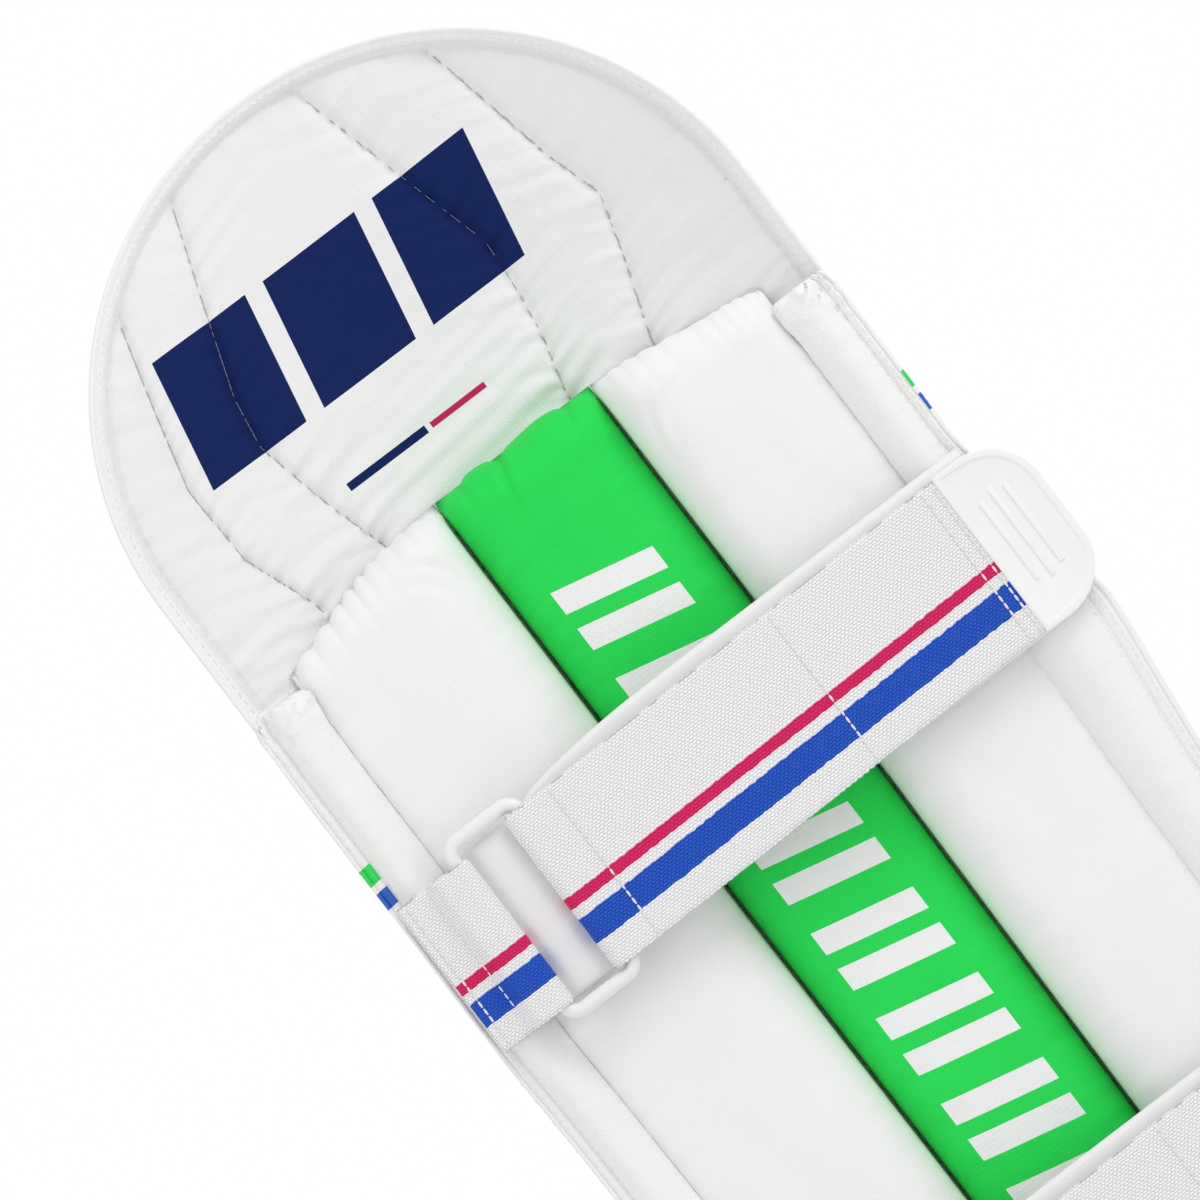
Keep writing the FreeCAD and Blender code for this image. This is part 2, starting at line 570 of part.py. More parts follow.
# Every object is checked before anything is written. The canes in a group are written as that group.
grouped = canes + flap_rods
parts = [body for body in doc.findObjects("PartDesign::Body") if body not in grouped]
parts += [shin_canes, flap_canes]
for item in doc.Objects:
    if "Invalid" in item.State or "Error" in item.State:
        raise RuntimeError(f"{item.Label} failed: {item.State}")
for item in parts:
    if item.Shape.isNull() or not item.Shape.isValid():
        raise RuntimeError(f"{item.Label} has no valid shape")
os.makedirs("parts", exist_ok=True)
for item in parts:
    item.Shape.exportStep(f"parts/{item.Label}.step")
    print(f"{item.Label}: {len(item.Shape.Solids)} solid, {item.Shape.Volume / 1000:.1f} cm3")
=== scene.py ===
"""Cricket leg pad: the surfaces that show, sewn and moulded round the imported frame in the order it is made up.

Lengths are millimetres until a point goes into a mesh. +Z runs up the leg, -Y is the leg side with the straps,
+X is to the right as the straps are looked at, and in plan every layer is an arc about one upright axis.
"""
import math

import bmesh
import bpy
from mathutils import Matrix, Vector, noise


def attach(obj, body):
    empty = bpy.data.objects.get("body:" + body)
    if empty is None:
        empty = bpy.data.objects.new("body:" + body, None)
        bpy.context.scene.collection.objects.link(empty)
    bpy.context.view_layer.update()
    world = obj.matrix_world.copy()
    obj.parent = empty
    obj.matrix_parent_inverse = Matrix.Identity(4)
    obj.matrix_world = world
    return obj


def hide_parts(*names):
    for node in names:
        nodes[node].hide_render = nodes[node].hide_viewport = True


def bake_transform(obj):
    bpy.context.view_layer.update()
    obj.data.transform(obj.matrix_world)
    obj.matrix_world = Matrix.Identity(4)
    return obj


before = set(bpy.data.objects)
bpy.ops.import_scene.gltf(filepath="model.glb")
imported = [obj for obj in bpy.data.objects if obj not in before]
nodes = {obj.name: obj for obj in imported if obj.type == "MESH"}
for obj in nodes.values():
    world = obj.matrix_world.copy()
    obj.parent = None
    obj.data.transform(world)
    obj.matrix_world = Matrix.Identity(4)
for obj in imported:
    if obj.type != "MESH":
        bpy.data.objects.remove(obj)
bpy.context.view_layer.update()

# ---- Backing board -------------------------------------------------------------------------------------------
# A moulded foam board faced with a woven polyester cloth, which everything else is sewn to. It is the packed
# part itself, bent to an arc in plan and cut away over the instep. Only its foot and its edges show.
ARC_AXIS = 260
ANKLE_SCALE = 0.88
SHIN_TOP = 400
BOARD_REAR = 249.7


def depth(radius, x):
    """The Y of a point on the plan arc of that radius."""
    return math.sqrt(radius * radius - x * x) - ARC_AXIS


def on_arc(radius, angle, height):
    """The point at a height whose plan arc has that radius, an angle round from the front."""
    return Vector((radius * math.sin(angle), radius * math.cos(angle) - ARC_AXIS, height))


def taper(height):
    """How much narrower the pad is at a height below the knee."""
    return ANKLE_SCALE + (1 - ANKLE_SCALE) * min(1, height / SHIN_TOP)


def paint(code):
    """Turns an sRGB hex colour into the linear colour that a node takes."""
    channels = [int(code[place:place + 2], 16) / 255 for place in (1, 3, 5)]
    return [c / 12.92 if c <= 0.04045 else ((c + 0.055) / 1.055) ** 2.4 for c in channels] + [1]


def new_finish(name):
    """An empty node material, its node tree, and the coordinates of the piece that it is put on."""
    finish = bpy.data.materials.new(name)
    finish.use_nodes = True
    tree = finish.node_tree
    tree.nodes.clear()
    return finish, tree, tree.nodes.new("ShaderNodeTexCoord").outputs["Object"]


def add(tree, kind, inputs=(), **settings):
    """Adds a node, sets its properties, then links or sets its inputs, which a tuple gives in order. A node
    given to an input stands for its first output."""
    node = tree.nodes.new("ShaderNode" + kind)
    for key, value in settings.items():
        setattr(node, key, value)
    for key, value in inputs.items() if isinstance(inputs, dict) else enumerate(inputs):
        if isinstance(value, bpy.types.Node):
            value = value.outputs[0]
        if isinstance(value, bpy.types.NodeSocket):
            tree.links.new(value, node.inputs[key])
        else:
            node.inputs[key].default_value = value
    return node


def woven_cloth(name, colour, thread, bumpiness, roughness, sheen, mottle=0.04, print_on=None, stain="#DAD9D6"):
    """A plain-woven cloth: threads each way on the piece's own UV map, faint mottling, a soft sheen."""
    finish, tree, solid = new_finish(name)
    uv = add(tree, "UVMap", uv_map="cloth")
    scale = 0.31416 / (2 * thread / 1000)
    warp = add(tree, "TexWave", {"Vector": uv, "Scale": scale, "Distortion": 0.6, "Detail": 1},
               bands_direction="X")
    weft = add(tree, "TexWave", {"Vector": uv, "Scale": scale, "Distortion": 0.6, "Detail": 1},
               bands_direction="Y")
    weave = add(tree, "Math", (warp.outputs["Fac"], weft.outputs["Fac"]), operation="MULTIPLY")
    grit = add(tree, "TexNoise", {"Vector": solid, "Scale": 1100, "Detail": 3})
    cloud = add(tree, "TexNoise", {"Vector": solid, "Scale": 38, "Detail": 4})
    rise = add(tree, "Math", (grit, 2.2, weave), operation="MULTIPLY_ADD")
    rumple = add(tree, "Math", (cloud, 6.0, rise), operation="MULTIPLY_ADD")
    bump = add(tree, "Bump", {"Height": rumple, "Strength": bumpiness, "Distance": 0.00022})
    faint = add(tree, "Math", (cloud, mottle * 2, -mottle * 0.5), operation="MULTIPLY_ADD", use_clamp=True)
    tone = add(tree, "Mix", {0: faint, 6: paint(colour), 7: paint(stain)}, data_type="RGBA").outputs[2]
    if print_on is not None:
        tone = print_on(tree, solid, tone)
    cloth = add(tree, "BsdfPrincipled", {
        "Base Color": tone, "Roughness": roughness, "Normal": bump, "Sheen Weight": sheen,
        "Sheen Roughness": 0.4, "IOR": 1.5, "Specular IOR Level": 0.12})
    add(tree, "OutputMaterial", {"Surface": cloth})
    return finish


def close_finish(tree, tones, blend, relief, strength, depth_mm, shader, invert=False):
    """Ends a plain finish: two tones blended by a pattern, relief from another, and the shader's numbers."""
    tone = add(tree, "Mix", {0: blend, 6: paint(tones[0]), 7: paint(tones[1])}, data_type="RGBA")
    bump = add(tree, "Bump", {"Height": relief, "Strength": strength, "Distance": depth_mm / 1000},
               invert=invert)
    face = add(tree, "BsdfPrincipled", {"Base Color": tone.outputs[2], "Normal": bump, **shader})
    add(tree, "OutputMaterial", {"Surface": face})


# Woven polyester facing: matt, pale, with a coarse thread every 0.8 mm.
board_cloth, tree, solid = new_finish("woven polyester board facing")
threads = add(tree, "TexBrick", {
    "Vector": solid, "Scale": 1, "Brick Width": 0.0016, "Row Height": 0.0008, "Mortar Size": 0.00012})
wash = add(tree, "TexNoise", {"Vector": solid, "Scale": 25, "Detail": 4})
close_finish(tree, ("#E9E8E5", "#DDDCD8"), wash, threads.outputs["Fac"], 0.5, 0.1,
             {"Roughness": 0.8, "Specular IOR Level": 0.2}, invert=True)
nodes["backing_board"].data.materials[0] = board_cloth

# ---- Canes and hook patches ----------------------------------------------------------------------------------
# Split cane rods, pushed into sleeves inside the shin ribs and the flap ribs, stop the ball's blow. The hook
# patches are nylon hook tape sewn under each strap's end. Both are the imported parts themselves.
# Cane is straw-coloured and satin, with fibres that run up the rod.
cane, tree, solid = new_finish("split cane rod")
along_rod = add(tree, "Mapping", {"Vector": solid, "Scale": (900, 900, 12)})
fibres = add(tree, "TexNoise", {"Vector": along_rod, "Scale": 1, "Detail": 5})
close_finish(tree, ("#D8B878", "#A9854A"), fibres, fibres, 0.4, 0.2, {"Roughness": 0.5})
for name in ("shin_canes", "flap_canes"):
    nodes[name].data.materials[0] = cane

# Hook tape looks like close white bristle, about 1.5 mm from hook to hook; painted shade greys it between the
# hooks.
hook_tape, tree, solid = new_finish("white nylon hook tape")
hooks = add(tree, "TexVoronoi", {"Vector": solid, "Scale": 650, "Randomness": 0.3})
close_finish(tree, ("#F0F0EE", "#B9B9B6"), hooks, hooks, 1, 0.6, {"Roughness": 0.45}, invert=True)
STRAPS = ("knee", "calf", "ankle")
for name in STRAPS:
    nodes[f"{name}_hook_patch"].data.materials[0] = hook_tape

# ---- Shin ribs -----------------------------------------------------------------------------------------------
# Seven upright foam ribs down the ball side, each covered with white PU-coated cloth that is drawn down to a
# seam between it and the next, so that the cover puckers a little along every seam.
RIB_ANGLE = 22.9
RIB_COUNT = 7
RIB_FLOOR, RIB_CROWN = 260.15, 286
COVER_BACK = RIB_FLOOR - 0.05
ARCH_RADIUS, ARCH_DROP = 53.2, 18.2


def dome(s, sharpness):
    """Rises from 0 at one edge to 1 in the middle and back: a padded section, squarer as sharpness grows."""
    return max(0, 1 - abs(2 * s - 1) ** sharpness) ** (1 / sharpness)


def shoulder(distance, length, sharpness=2.4):
    """Rises from 0 at an end to 1 a length away from it, rounded like a stuffed edge."""
    if distance >= length:
        return 1
    return max(0, 1 - (1 - max(0, distance) / length) ** sharpness) ** (1 / sharpness)


def ridge(distance, width):
    """1 on a line and dying out to either side of it, about a width away."""
    return math.exp(-(distance / width) ** 2)


def fading(distance, length):
    """1 at an edge, dying away with the distance from it."""
    return math.exp(-distance / length)


def wander(*place):
    """Smooth noise between -1 and 1, the same on every run."""
    return noise.noise(Vector(place))


def pucker(distance, along, reach, pitch, seed):
    """The small folds that run away from a seam and die out: uneven, about a pitch apart."""
    fade = fading(distance, reach * (0.75 + 0.6 * wander(along / 17, seed, 3.1)))
    return fade * math.sin(2 * math.pi * along / pitch + 3.4 * wander(along / 21, seed, 0.7)) * (
        0.55 + 0.9 * abs(wander(along / 13, 7.7, seed)))


def sew(columns, rows, place, size, closed=False):
    """A cloth skin: a grid whose point (s, t) is put where place(s, t, back) says. An open skin gets a back and
    sides, and a closed one is joined along s and filled at its ends. size is its width and length."""
    skin = bmesh.new()
    bmesh.ops.create_grid(skin, x_segments=columns, y_segments=rows, size=0.5)
    if not closed:
        back = bmesh.ops.extrude_face_region(skin, geom=skin.faces[:])["geom"]
        bmesh.ops.translate(skin, vec=(0, 0, 1), verts=[v for v in back if isinstance(v, bmesh.types.BMVert)])
    cloth = skin.loops.layers.uv.new("cloth")
    for face in skin.faces:
        for loop in face.loops:
            spot = loop.vert.co
            loop[cloth].uv = ((spot.x + 0.5) * size[0] / 1000, (spot.y + 0.5) * size[1] / 1000)
    for vert in skin.verts:
        s, t = min(1, max(0, vert.co.x + 0.5)), min(1, max(0, vert.co.y + 0.5))
        vert.co = place(s, t, vert.co.z > 0.5) / 1000
    if closed:
        bmesh.ops.remove_doubles(skin, verts=skin.verts, dist=0.00002)
        bmesh.ops.holes_fill(skin, edges=[e for e in skin.edges if e.is_boundary])
    bmesh.ops.recalc_face_normals(skin, faces=skin.faces)
    if skin.calc_volume(signed=True) < 0:
        bmesh.ops.reverse_faces(skin, faces=skin.faces)
    return skin


def put_in_scene(name, data):
    """A new object of the scene that holds a mesh, a lamp or a camera."""
    thing = bpy.data.objects.new(name, data)
    bpy.context.scene.collection.objects.link(thing)
    return thing


def finish_piece(name, skin, finishes, body=None, replaced=()):
    """Turns a bmesh into a piece of the pad, smooth-shaded, riding on its body."""
    mesh = bpy.data.meshes.new(name)
    skin.to_mesh(mesh)
    skin.free()
    mesh.shade_smooth()
    for finish in finishes:
        mesh.materials.append(finish)
    piece = put_in_scene(name, mesh)
    if body:
        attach(piece, body)
    if replaced:
        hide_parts(*replaced)
    return piece


def arch_height(x):
    """How high the instep arch reaches above the base at x."""
    return max(0, math.sqrt(max(0, ARCH_RADIUS ** 2 - x * x)) - ARCH_DROP)


def polyurethane(name, bands=None):
    """White PU-coated cloth: a fine leather grain 1.2 mm across, soft gloss, and faintly yellower in patches.
    bands(tree, solid) gives the level that two printed bands follow, where they show and their two heights."""
    finish, tree, solid = new_finish(name)
    cells = add(tree, "TexVoronoi", {"Vector": solid, "Scale": 850}, feature="DISTANCE_TO_EDGE")
    groove = add(tree, "Math", (cells, 3.0), operation="MULTIPLY", use_clamp=True)
    creases = add(tree, "TexNoise", {"Vector": solid, "Scale": 120, "Detail": 5})
    grain = add(tree, "Math", (creases, 2.0, groove), operation="MULTIPLY_ADD")
    bump = add(tree, "Bump", {"Height": grain, "Strength": 0.35, "Distance": 0.00025})
    patch = add(tree, "TexNoise", {"Vector": solid, "Scale": 14, "Detail": 3})
    white = add(tree, "Mix", {0: patch, 6: paint("#F9F9F9"), 7: paint("#F3F3F1")}, data_type="RGBA").outputs[2]
    if bands is not None:
        level, shown, heights = bands(tree, solid)
        for height, colour in zip(heights, ("#2BDF5A", "#2A63C4")):
            band = add(tree, "Math", (level, height, 0.0033), operation="COMPARE")
            band = add(tree, "Math", (band, shown), operation="MULTIPLY")
            white = add(tree, "Mix", {0: band, 6: white, 7: paint(colour)}, data_type="RGBA").outputs[2]
    coat = add(tree, "BsdfPrincipled", {
        "Base Color": white, "Roughness": 0.42, "Normal": bump, "IOR": 1.48, "Specular IOR Level": 0.4})
    add(tree, "OutputMaterial", {"Surface": coat})
    return finish


white_pu = polyurethane("white PU coated cloth")
step = 2 * RIB_ANGLE / RIB_COUNT
for number in range(RIB_COUNT):
    first = -RIB_ANGLE + number * step

    def rib_point(s, t, back):
        angle = math.radians(first + 0.04 + s * (step - 0.08))
        swell = dome(s, 2.5)
        ends = shoulder(t * SHIN_TOP, 7) * shoulder((1 - t) * SHIN_TOP, 16)
        from_seam = min(s, 1 - s) * 30
        side = 1 if s < 0.5 else -1
        folds = 0.5 * pucker(from_seam, t * SHIN_TOP, 5, 7.5, first + side)
        bow = 0.7 * wander(first, t * 5, 2)
        radius = RIB_FLOOR + swell * ((RIB_CROWN - RIB_FLOOR) * (0.42 + 0.58 * ends) + (folds + bow) * ends)
        if back:
            radius = COVER_BACK
        turn = angle * taper(t * SHIN_TOP)
        x = radius * math.sin(turn)
        low = arch_height(x) + 0.1 if abs(x) < 50 else 0
        return on_arc(radius, turn, low + t * (SHIN_TOP - 0.1 - low))

    skin = sew(22, 150, rib_point, (40, SHIN_TOP))
    rib = finish_piece(f"shin_rib_cover_{number + 1}", skin, [white_pu], "pad",
                       [f"shin_rib_{number + 1}"])

# ---- Knee rolls ----------------------------------------------------------------------------------------------
# Three fat foam rolls lie across the knee one above another, in the same PU cloth, gathered at both ends where
# the cover is closed. A green and a blue band are printed along the middle one.
ROLL_PITCH = 46.67
ROLL_CROWN = 305.6
ROLL_GAP = 0.3
ROLL_SPAN = 2 * math.radians(RIB_ANGLE) * ROLL_CROWN
BAND_SLOPE = -0.094


def roll_bands(tree, solid):
    """Bands 8 mm wide along the cloth of the roll, which rise a little to the right."""
    axes = add(tree, "SeparateXYZ", (add(tree, "UVMap", uv_map="cloth"),))
    level = add(tree, "Math", (axes.outputs["Y"], BAND_SLOPE, axes.outputs["X"]), operation="MULTIPLY_ADD")
    return level, 1.0, (0.0560, 0.0468)


knee_pu = polyurethane("white PU coated cloth with printed bands", roll_bands)
for number, roll_name in enumerate(("bottom", "middle", "top")):
    low = SHIN_TOP + number * ROLL_PITCH + 0.15

    def roll_point(s, t, back):
        angle = math.radians((2 * t - 1) * (RIB_ANGLE - 0.05))
        ends = shoulder(t * ROLL_SPAN, 20) * shoulder((1 - t) * ROLL_SPAN, 20)
        wave = math.sin(2 * math.pi * s * 6 + number + 2 * wander(s * 3, number, 1))
        gathers = 1.3 * fading(min(t, 1 - t) * ROLL_SPAN, 13) * wave
        folds = 0.55 * pucker(min(s, 1 - s) * 60, t * ROLL_SPAN, 6, 9, number + (5 if s < 0.5 else 1))
        swell = dome(s, 2.3)
        bow = 0.9 * wander(t * 6, number, 4)
        radius = RIB_FLOOR + (ROLL_CROWN - RIB_FLOOR) * swell * (0.3 + 0.7 * ends) + swell * (
            gathers + folds * ends + bow * ends - 0.6)
        if back:
            radius = COVER_BACK
        return on_arc(radius, angle, low + 0.05 + s * (ROLL_PITCH - ROLL_GAP))

    skin = sew(36, 190, roll_point, (95, 244))
    cover = knee_pu if roll_name == "middle" else white_pu
    roll = finish_piece(f"knee_roll_cover_{roll_name}", skin, [cover], "pad",
                        [f"knee_roll_{roll_name}", f"knee_core_{roll_name}"])

# ---- Bolsters ------------------------------------------------------------------------------------------------
# Two long foam cushions lie against the leg, covered in brushed white nylon. Each is closed at its ends by
# gathering the cover on a thread, and is drawn down along the seam beside the centre band.
CUSHION_BASE, CUSHION_TOP = 45, 569
BOLSTER_PEAK = -46.2
OUTER_SQUARENESS = 6.5
BAND_PEAK = -34.2
cushion_length = CUSHION_TOP - CUSHION_BASE


def corner_fold(from_seam, from_top):
    """A curved crease where the cover turns over a cushion's upper corner, with a soft ridge outside it."""
    reach = 42
    u, v = max(0, 1 - from_seam / reach), max(0, 1 - from_top / reach)
    if u * v == 0:
        return 0
    level = (u ** 3 + v ** 3) ** (1 / 3)
    spread = ridge(math.degrees(math.atan2(u, v)) - 42, 30)
    crease = ridge((level - 0.84) * reach, 1.6) + 0.6 * ridge((level - 0.72) * reach, 1.8)
    return spread * (0.7 * ridge((level - 0.95) * reach, 3) - 1.5 * crease)


def cushion(name, left, right, peak, squareness, seam_sides, creases, finish, seed, outer=0, fall=0,
            fall_curve=1):
    """A long stuffed cushion: crowned towards the leg, gathered at the ends, puckered beside its seams. Each of
    creases says where along the top edge one starts, how far it drifts sideways, how long it is and how deep.
    Towards its outer side the cushion is squarer, and its top edge falls."""
    width = right - left

    def cushion_point(s, t, back):
        share = s if outer > 0 else 1 - s
        tall = cushion_length + 1.6 - (fall * share ** fall_curve if outer else 0)
        high, low = (1 - t) * tall, t * tall
        z = CUSHION_BASE + low
        scale = taper(z)
        x = (left + s * width) * scale
        floor = depth(BOARD_REAR, x) - 0.3
        ends = shoulder(high, 15, 2.1) * shoulder(low, 15, 2.1)
        swell = dome(s, OUTER_SQUARENESS if outer and share > 0.5 else squareness)
        near = min(high, low)
        # The gathers: small tufts of uneven width along each end, and a few long creases at the top.
        tuft = abs(math.sin(math.pi * (width / 6.8 * (s + 0.11 * wander(s * 2.4, seed, 2)) + seed)))
        pinch = (1 - tuft) ** 2.2 * max(0, 0.45 + 1.3 * wander(s * 5, seed, 6))
        gather = 0.15 * tuft * fading(near, 6) - 1.3 * pinch * fading(near, 8)
        gather += 0.8 * wander(s * 4, z / 26, seed) * fading(near, 45)
        notch = 0
        for start, drift, length, deepness in creases:
            off = (s - start - drift * (min(high, length) / length) ** 0.8) * width
            fade = max(0, 1 - high / length) ** 0.8
            gather -= deepness * fade * (ridge(off, 1.5) - 0.45 * ridge(off, 6))
            notch += 0.75 * deepness * ridge(off, 2.2) * fading(high, 5)
        folds = 0.0
        for side, strength in seam_sides:
            gap = (s if side < 0 else 1 - s) * width
            folds += strength * (pucker(gap, z, 6, 9, seed + side) + 0.5 * pucker(gap, z, 13, 21, seed - side))
            if strength > 0.8 and not creases:
                folds -= corner_fold(gap, high)
        bow = 1.1 * wander(s * 1.6, z / 70, seed) + 0.45 * wander(s * 5, z / 22, seed + 4)
        lift = (floor - peak) * swell * (0.2 + 0.8 * ends)
        y = floor - lift - swell * (gather * (0.35 + 0.65 * ends) - folds + bow * ends) + 1.0 * swell
        if back:
            y = floor + 0.1
        corner = 3.6 * abs(2 * s - 1) ** 6 * fading(high, 30)
        ruffle = (0.35 + 0.9 * share) if outer < 0 else 0.4
        lobe = ruffle * (1.5 * tuft - 1.4 * pinch)
        for first_crease, next_crease in zip(creases, creases[1:]):
            if first_crease[0] <= s <= next_crease[0]:
                part = (s - first_crease[0]) / (next_crease[0] - first_crease[0])
                lobe = 2.6 * (math.sin(math.pi * part) ** 0.6) * (next_crease[0] - first_crease[0]) ** 0.5
        scallop = (lobe + 2.0 * wander(s * 2.6, seed, 9)) * fading(high, 8) - corner - notch
        return Vector((x, y, z + scallop * (0 if back else 1)))

    skin = sew(72, 270, cushion_point, (width * 1.35, cushion_length))
    piece = finish_piece(f"{name}_cover", skin, [finish], "pad", [name, f"{name}_core"])


brushed_nylon = woven_cloth("brushed white nylon cloth", "#F6F6F6", 0.8, 0.22, 0.85, 0.1, stain="#E6E6E4")
for name, left, right, seed, outer, fall, fall_curve in (
        ("left_bolster", -102.2, -29.1, 1.3, -1, 17, 1.6), ("right_bolster", 37.1, 102.2, 6.1, 1, 9, 1.2)):
    cushion(name, left, right, BOLSTER_PEAK, 3.2, ((-outer, 0.9), (outer, 0.5)), (), brushed_nylon,
            seed, outer, fall, fall_curve)

# ---- Centre band ---------------------------------------------------------------------------------------------
# A softer green cushion fills the valley between the bolsters. Its cloth is the same nylon dyed green, printed
# with a plain repeat of slanted white bars, and its top end is gathered in deep scallops.


def band_print(tree, solid, tone):
    """Pairs of slanted white bars, 37 mm across, one pair every 36 mm down the band from near its top."""
    axes = add(tree, "SeparateXYZ", (solid,))
    slanted = add(tree, "Math", (axes.outputs["X"], 0.22, axes.outputs["Z"]), operation="MULTIPLY_ADD")
    fallen = add(tree, "Math", (0.526, slanted), operation="SUBTRACT")
    repeat = add(tree, "Math", (fallen, 0.036), operation="MODULO")
    high_bar = add(tree, "Math", (repeat, 0.0115, 0.0045), operation="COMPARE")
    low_bar = add(tree, "Math", (repeat, 0.0265, 0.0045), operation="COMPARE")
    bars = add(tree, "Math", (low_bar, high_bar), operation="ADD")
    within = add(tree, "Math", (axes.outputs["X"], 0.0025, 0.0185), operation="COMPARE")
    below = add(tree, "Math", (fallen, 0.0), operation="GREATER_THAN")
    mask = add(tree, "Math", (bars, within), operation="MULTIPLY")
    mask = add(tree, "Math", (mask, below), operation="MULTIPLY")
    return add(tree, "Mix", {0: mask, 6: tone, 7: paint("#F6F6F6")}, data_type="RGBA").outputs[2]


green_nylon = woven_cloth("green printed nylon cloth", "#2DE25C", 0.8, 0.35, 0.8, 0.05, mottle=0.3,
                          print_on=band_print, stain="#24CC50")
BAND_CREASES = ((0.02, 0, 8, 0.6), (0.15, 0.03, 12, 1.5), (0.40, -0.08, 24, 3.0), (0.84, -0.05, 10, 1.6),
                (0.99, 0, 8, 0.6))
cushion("centre_band", -28.8, 36.8, BAND_PEAK, 3.3, ((1, 1.1), (-1, 1.1)), BAND_CREASES, green_nylon,
        3.7)

# ---- Side wings ----------------------------------------------------------------------------------------------
# A padded wall down each side keeps the leg in the pad. Its leg-side edge is a soft roll beside the bolster,
# then a flat bound margin with two piped lines. The right wing flares out under the knee strap.
WING_LOW, WING_HIGH = 92.01, 103.855
WING_TOP = 539.9
WING_RISE = {-1: 8, 1: 14}
WING_OUTLINE = (
    (0.2, -14), (0, -30), (-2, -38.6), (-3.2, -42.2), (-1.4, -46.2), (2.2, -49), (5.8, -50.7), (9, -50.7),
    (11.8, -49.1), (13.5, -47.6), (14.2, -46.6), (14.8, -47.2), (15.9, -47.9), (17, -47.8), (17.5, -47.3),
    (17.9, -48.1), (18.7, -48.1), (19.1, -47), (19, -43), (19, -30), (18.8, -16), (17.2, -10.6), (13.4, -8.2),
    (9, -7.6), (4, -9.4), (1, -12.6))
WING_MARGIN = 19
FLARE = ((0, 0), (350, 5), (410, 10), (480, 0), (540, 0))


def between(table, place):
    """Reads a table of (place, value) rows, in straight lines from row to row."""
    for (a, low), (b, high) in zip(table, table[1:]):
        if place <= b:
            return low + (high - low) * (place - a) / (b - a)
    return table[-1][1]


def outline_point(points, s):
    """A point a fraction s of the way round a closed smooth line through the points."""
    count = len(points)
    place = (s % 1) * count
    index, part = int(place) % count, place % 1
    a, b, c, d = (Vector(points[(index + k) % count]) for k in (-1, 0, 1, 2))
    return 0.5 * (2 * b + (c - a) * part + (2 * a - 5 * b + 4 * c - d) * part ** 2
                  + (3 * b - a - 3 * c + d) * part ** 3)


STITCH_PITCH, STITCH_LENGTH, STITCH_RADIUS = 4.2, 3.0, 0.3
# Polyester thread: white, with the faint grey of its twist.
cotton, tree, solid = new_finish("white polyester sewing thread")
twist = add(tree, "TexNoise", {"Vector": solid, "Scale": 1800})
close_finish(tree, ("#FAFAFA", "#DDDDDC"), twist, twist, 0.6, 0.1, {"Roughness": 0.5})
thread_shape = bpy.data.meshes.new("thread")


def stitch_row(seam, line, length, pitch=STITCH_PITCH, size=STITCH_LENGTH, radius=STITCH_RADIUS, material=0):
    """Sews a row of stitches along line(t) into a skin: each is a spindle of thread lying on the cloth."""
    row = bmesh.new()
    count = int(length / pitch)
    for number in range(count):
        middle, half = (number + 0.5) / count, size / length / 2
        start, stop = line(middle - half), line(middle + half)
        run = (stop - start) / 1000
        place = (Matrix.Translation((start + stop) / 2000) @ run.to_track_quat("Z", "X").to_matrix().to_4x4()
                 @ Matrix.Diagonal((radius / 1000, radius / 1000, run.length / 2, 1)))
        spindle = bmesh.new()
        bmesh.ops.create_uvsphere(spindle, u_segments=6, v_segments=4, radius=1, matrix=place)
        for face in spindle.faces:
            face.material_index = material
        spindle.to_mesh(thread_shape)
        spindle.free()
        row.from_mesh(thread_shape)
    row.to_mesh(thread_shape)
    row.free()
    seam.from_mesh(thread_shape)


def wing_bands(tree, solid):
    """The same two bands round the wings' outer faces, where they end at the margin: higher on the right."""
    axes = add(tree, "SeparateXYZ", (solid,))
    shifted = add(tree, "Math", (axes.outputs["X"], 0.0017), operation="SUBTRACT")
    across = add(tree, "Math", (shifted,), operation="ABSOLUTE")
    outside = add(tree, "Math", (across, 0.1202), operation="GREATER_THAN")
    level = add(tree, "Math", (axes.outputs["X"], BAND_SLOPE, axes.outputs["Z"]), operation="MULTIPLY_ADD")
    return level, outside, (0.4955, 0.486)


wing_pu = polyurethane("white PU coated cloth of the wings", wing_bands)
# Where each row of stitches runs round the wing's outline, and which way it stands proud.
WING_ROWS = ((0.35, (0, -0.1)), (0.478, (0, -0.1)), (0.70, (0.12, 0)), (0.777, (0.12, 0)))
ROW_CROWDING = 1.35

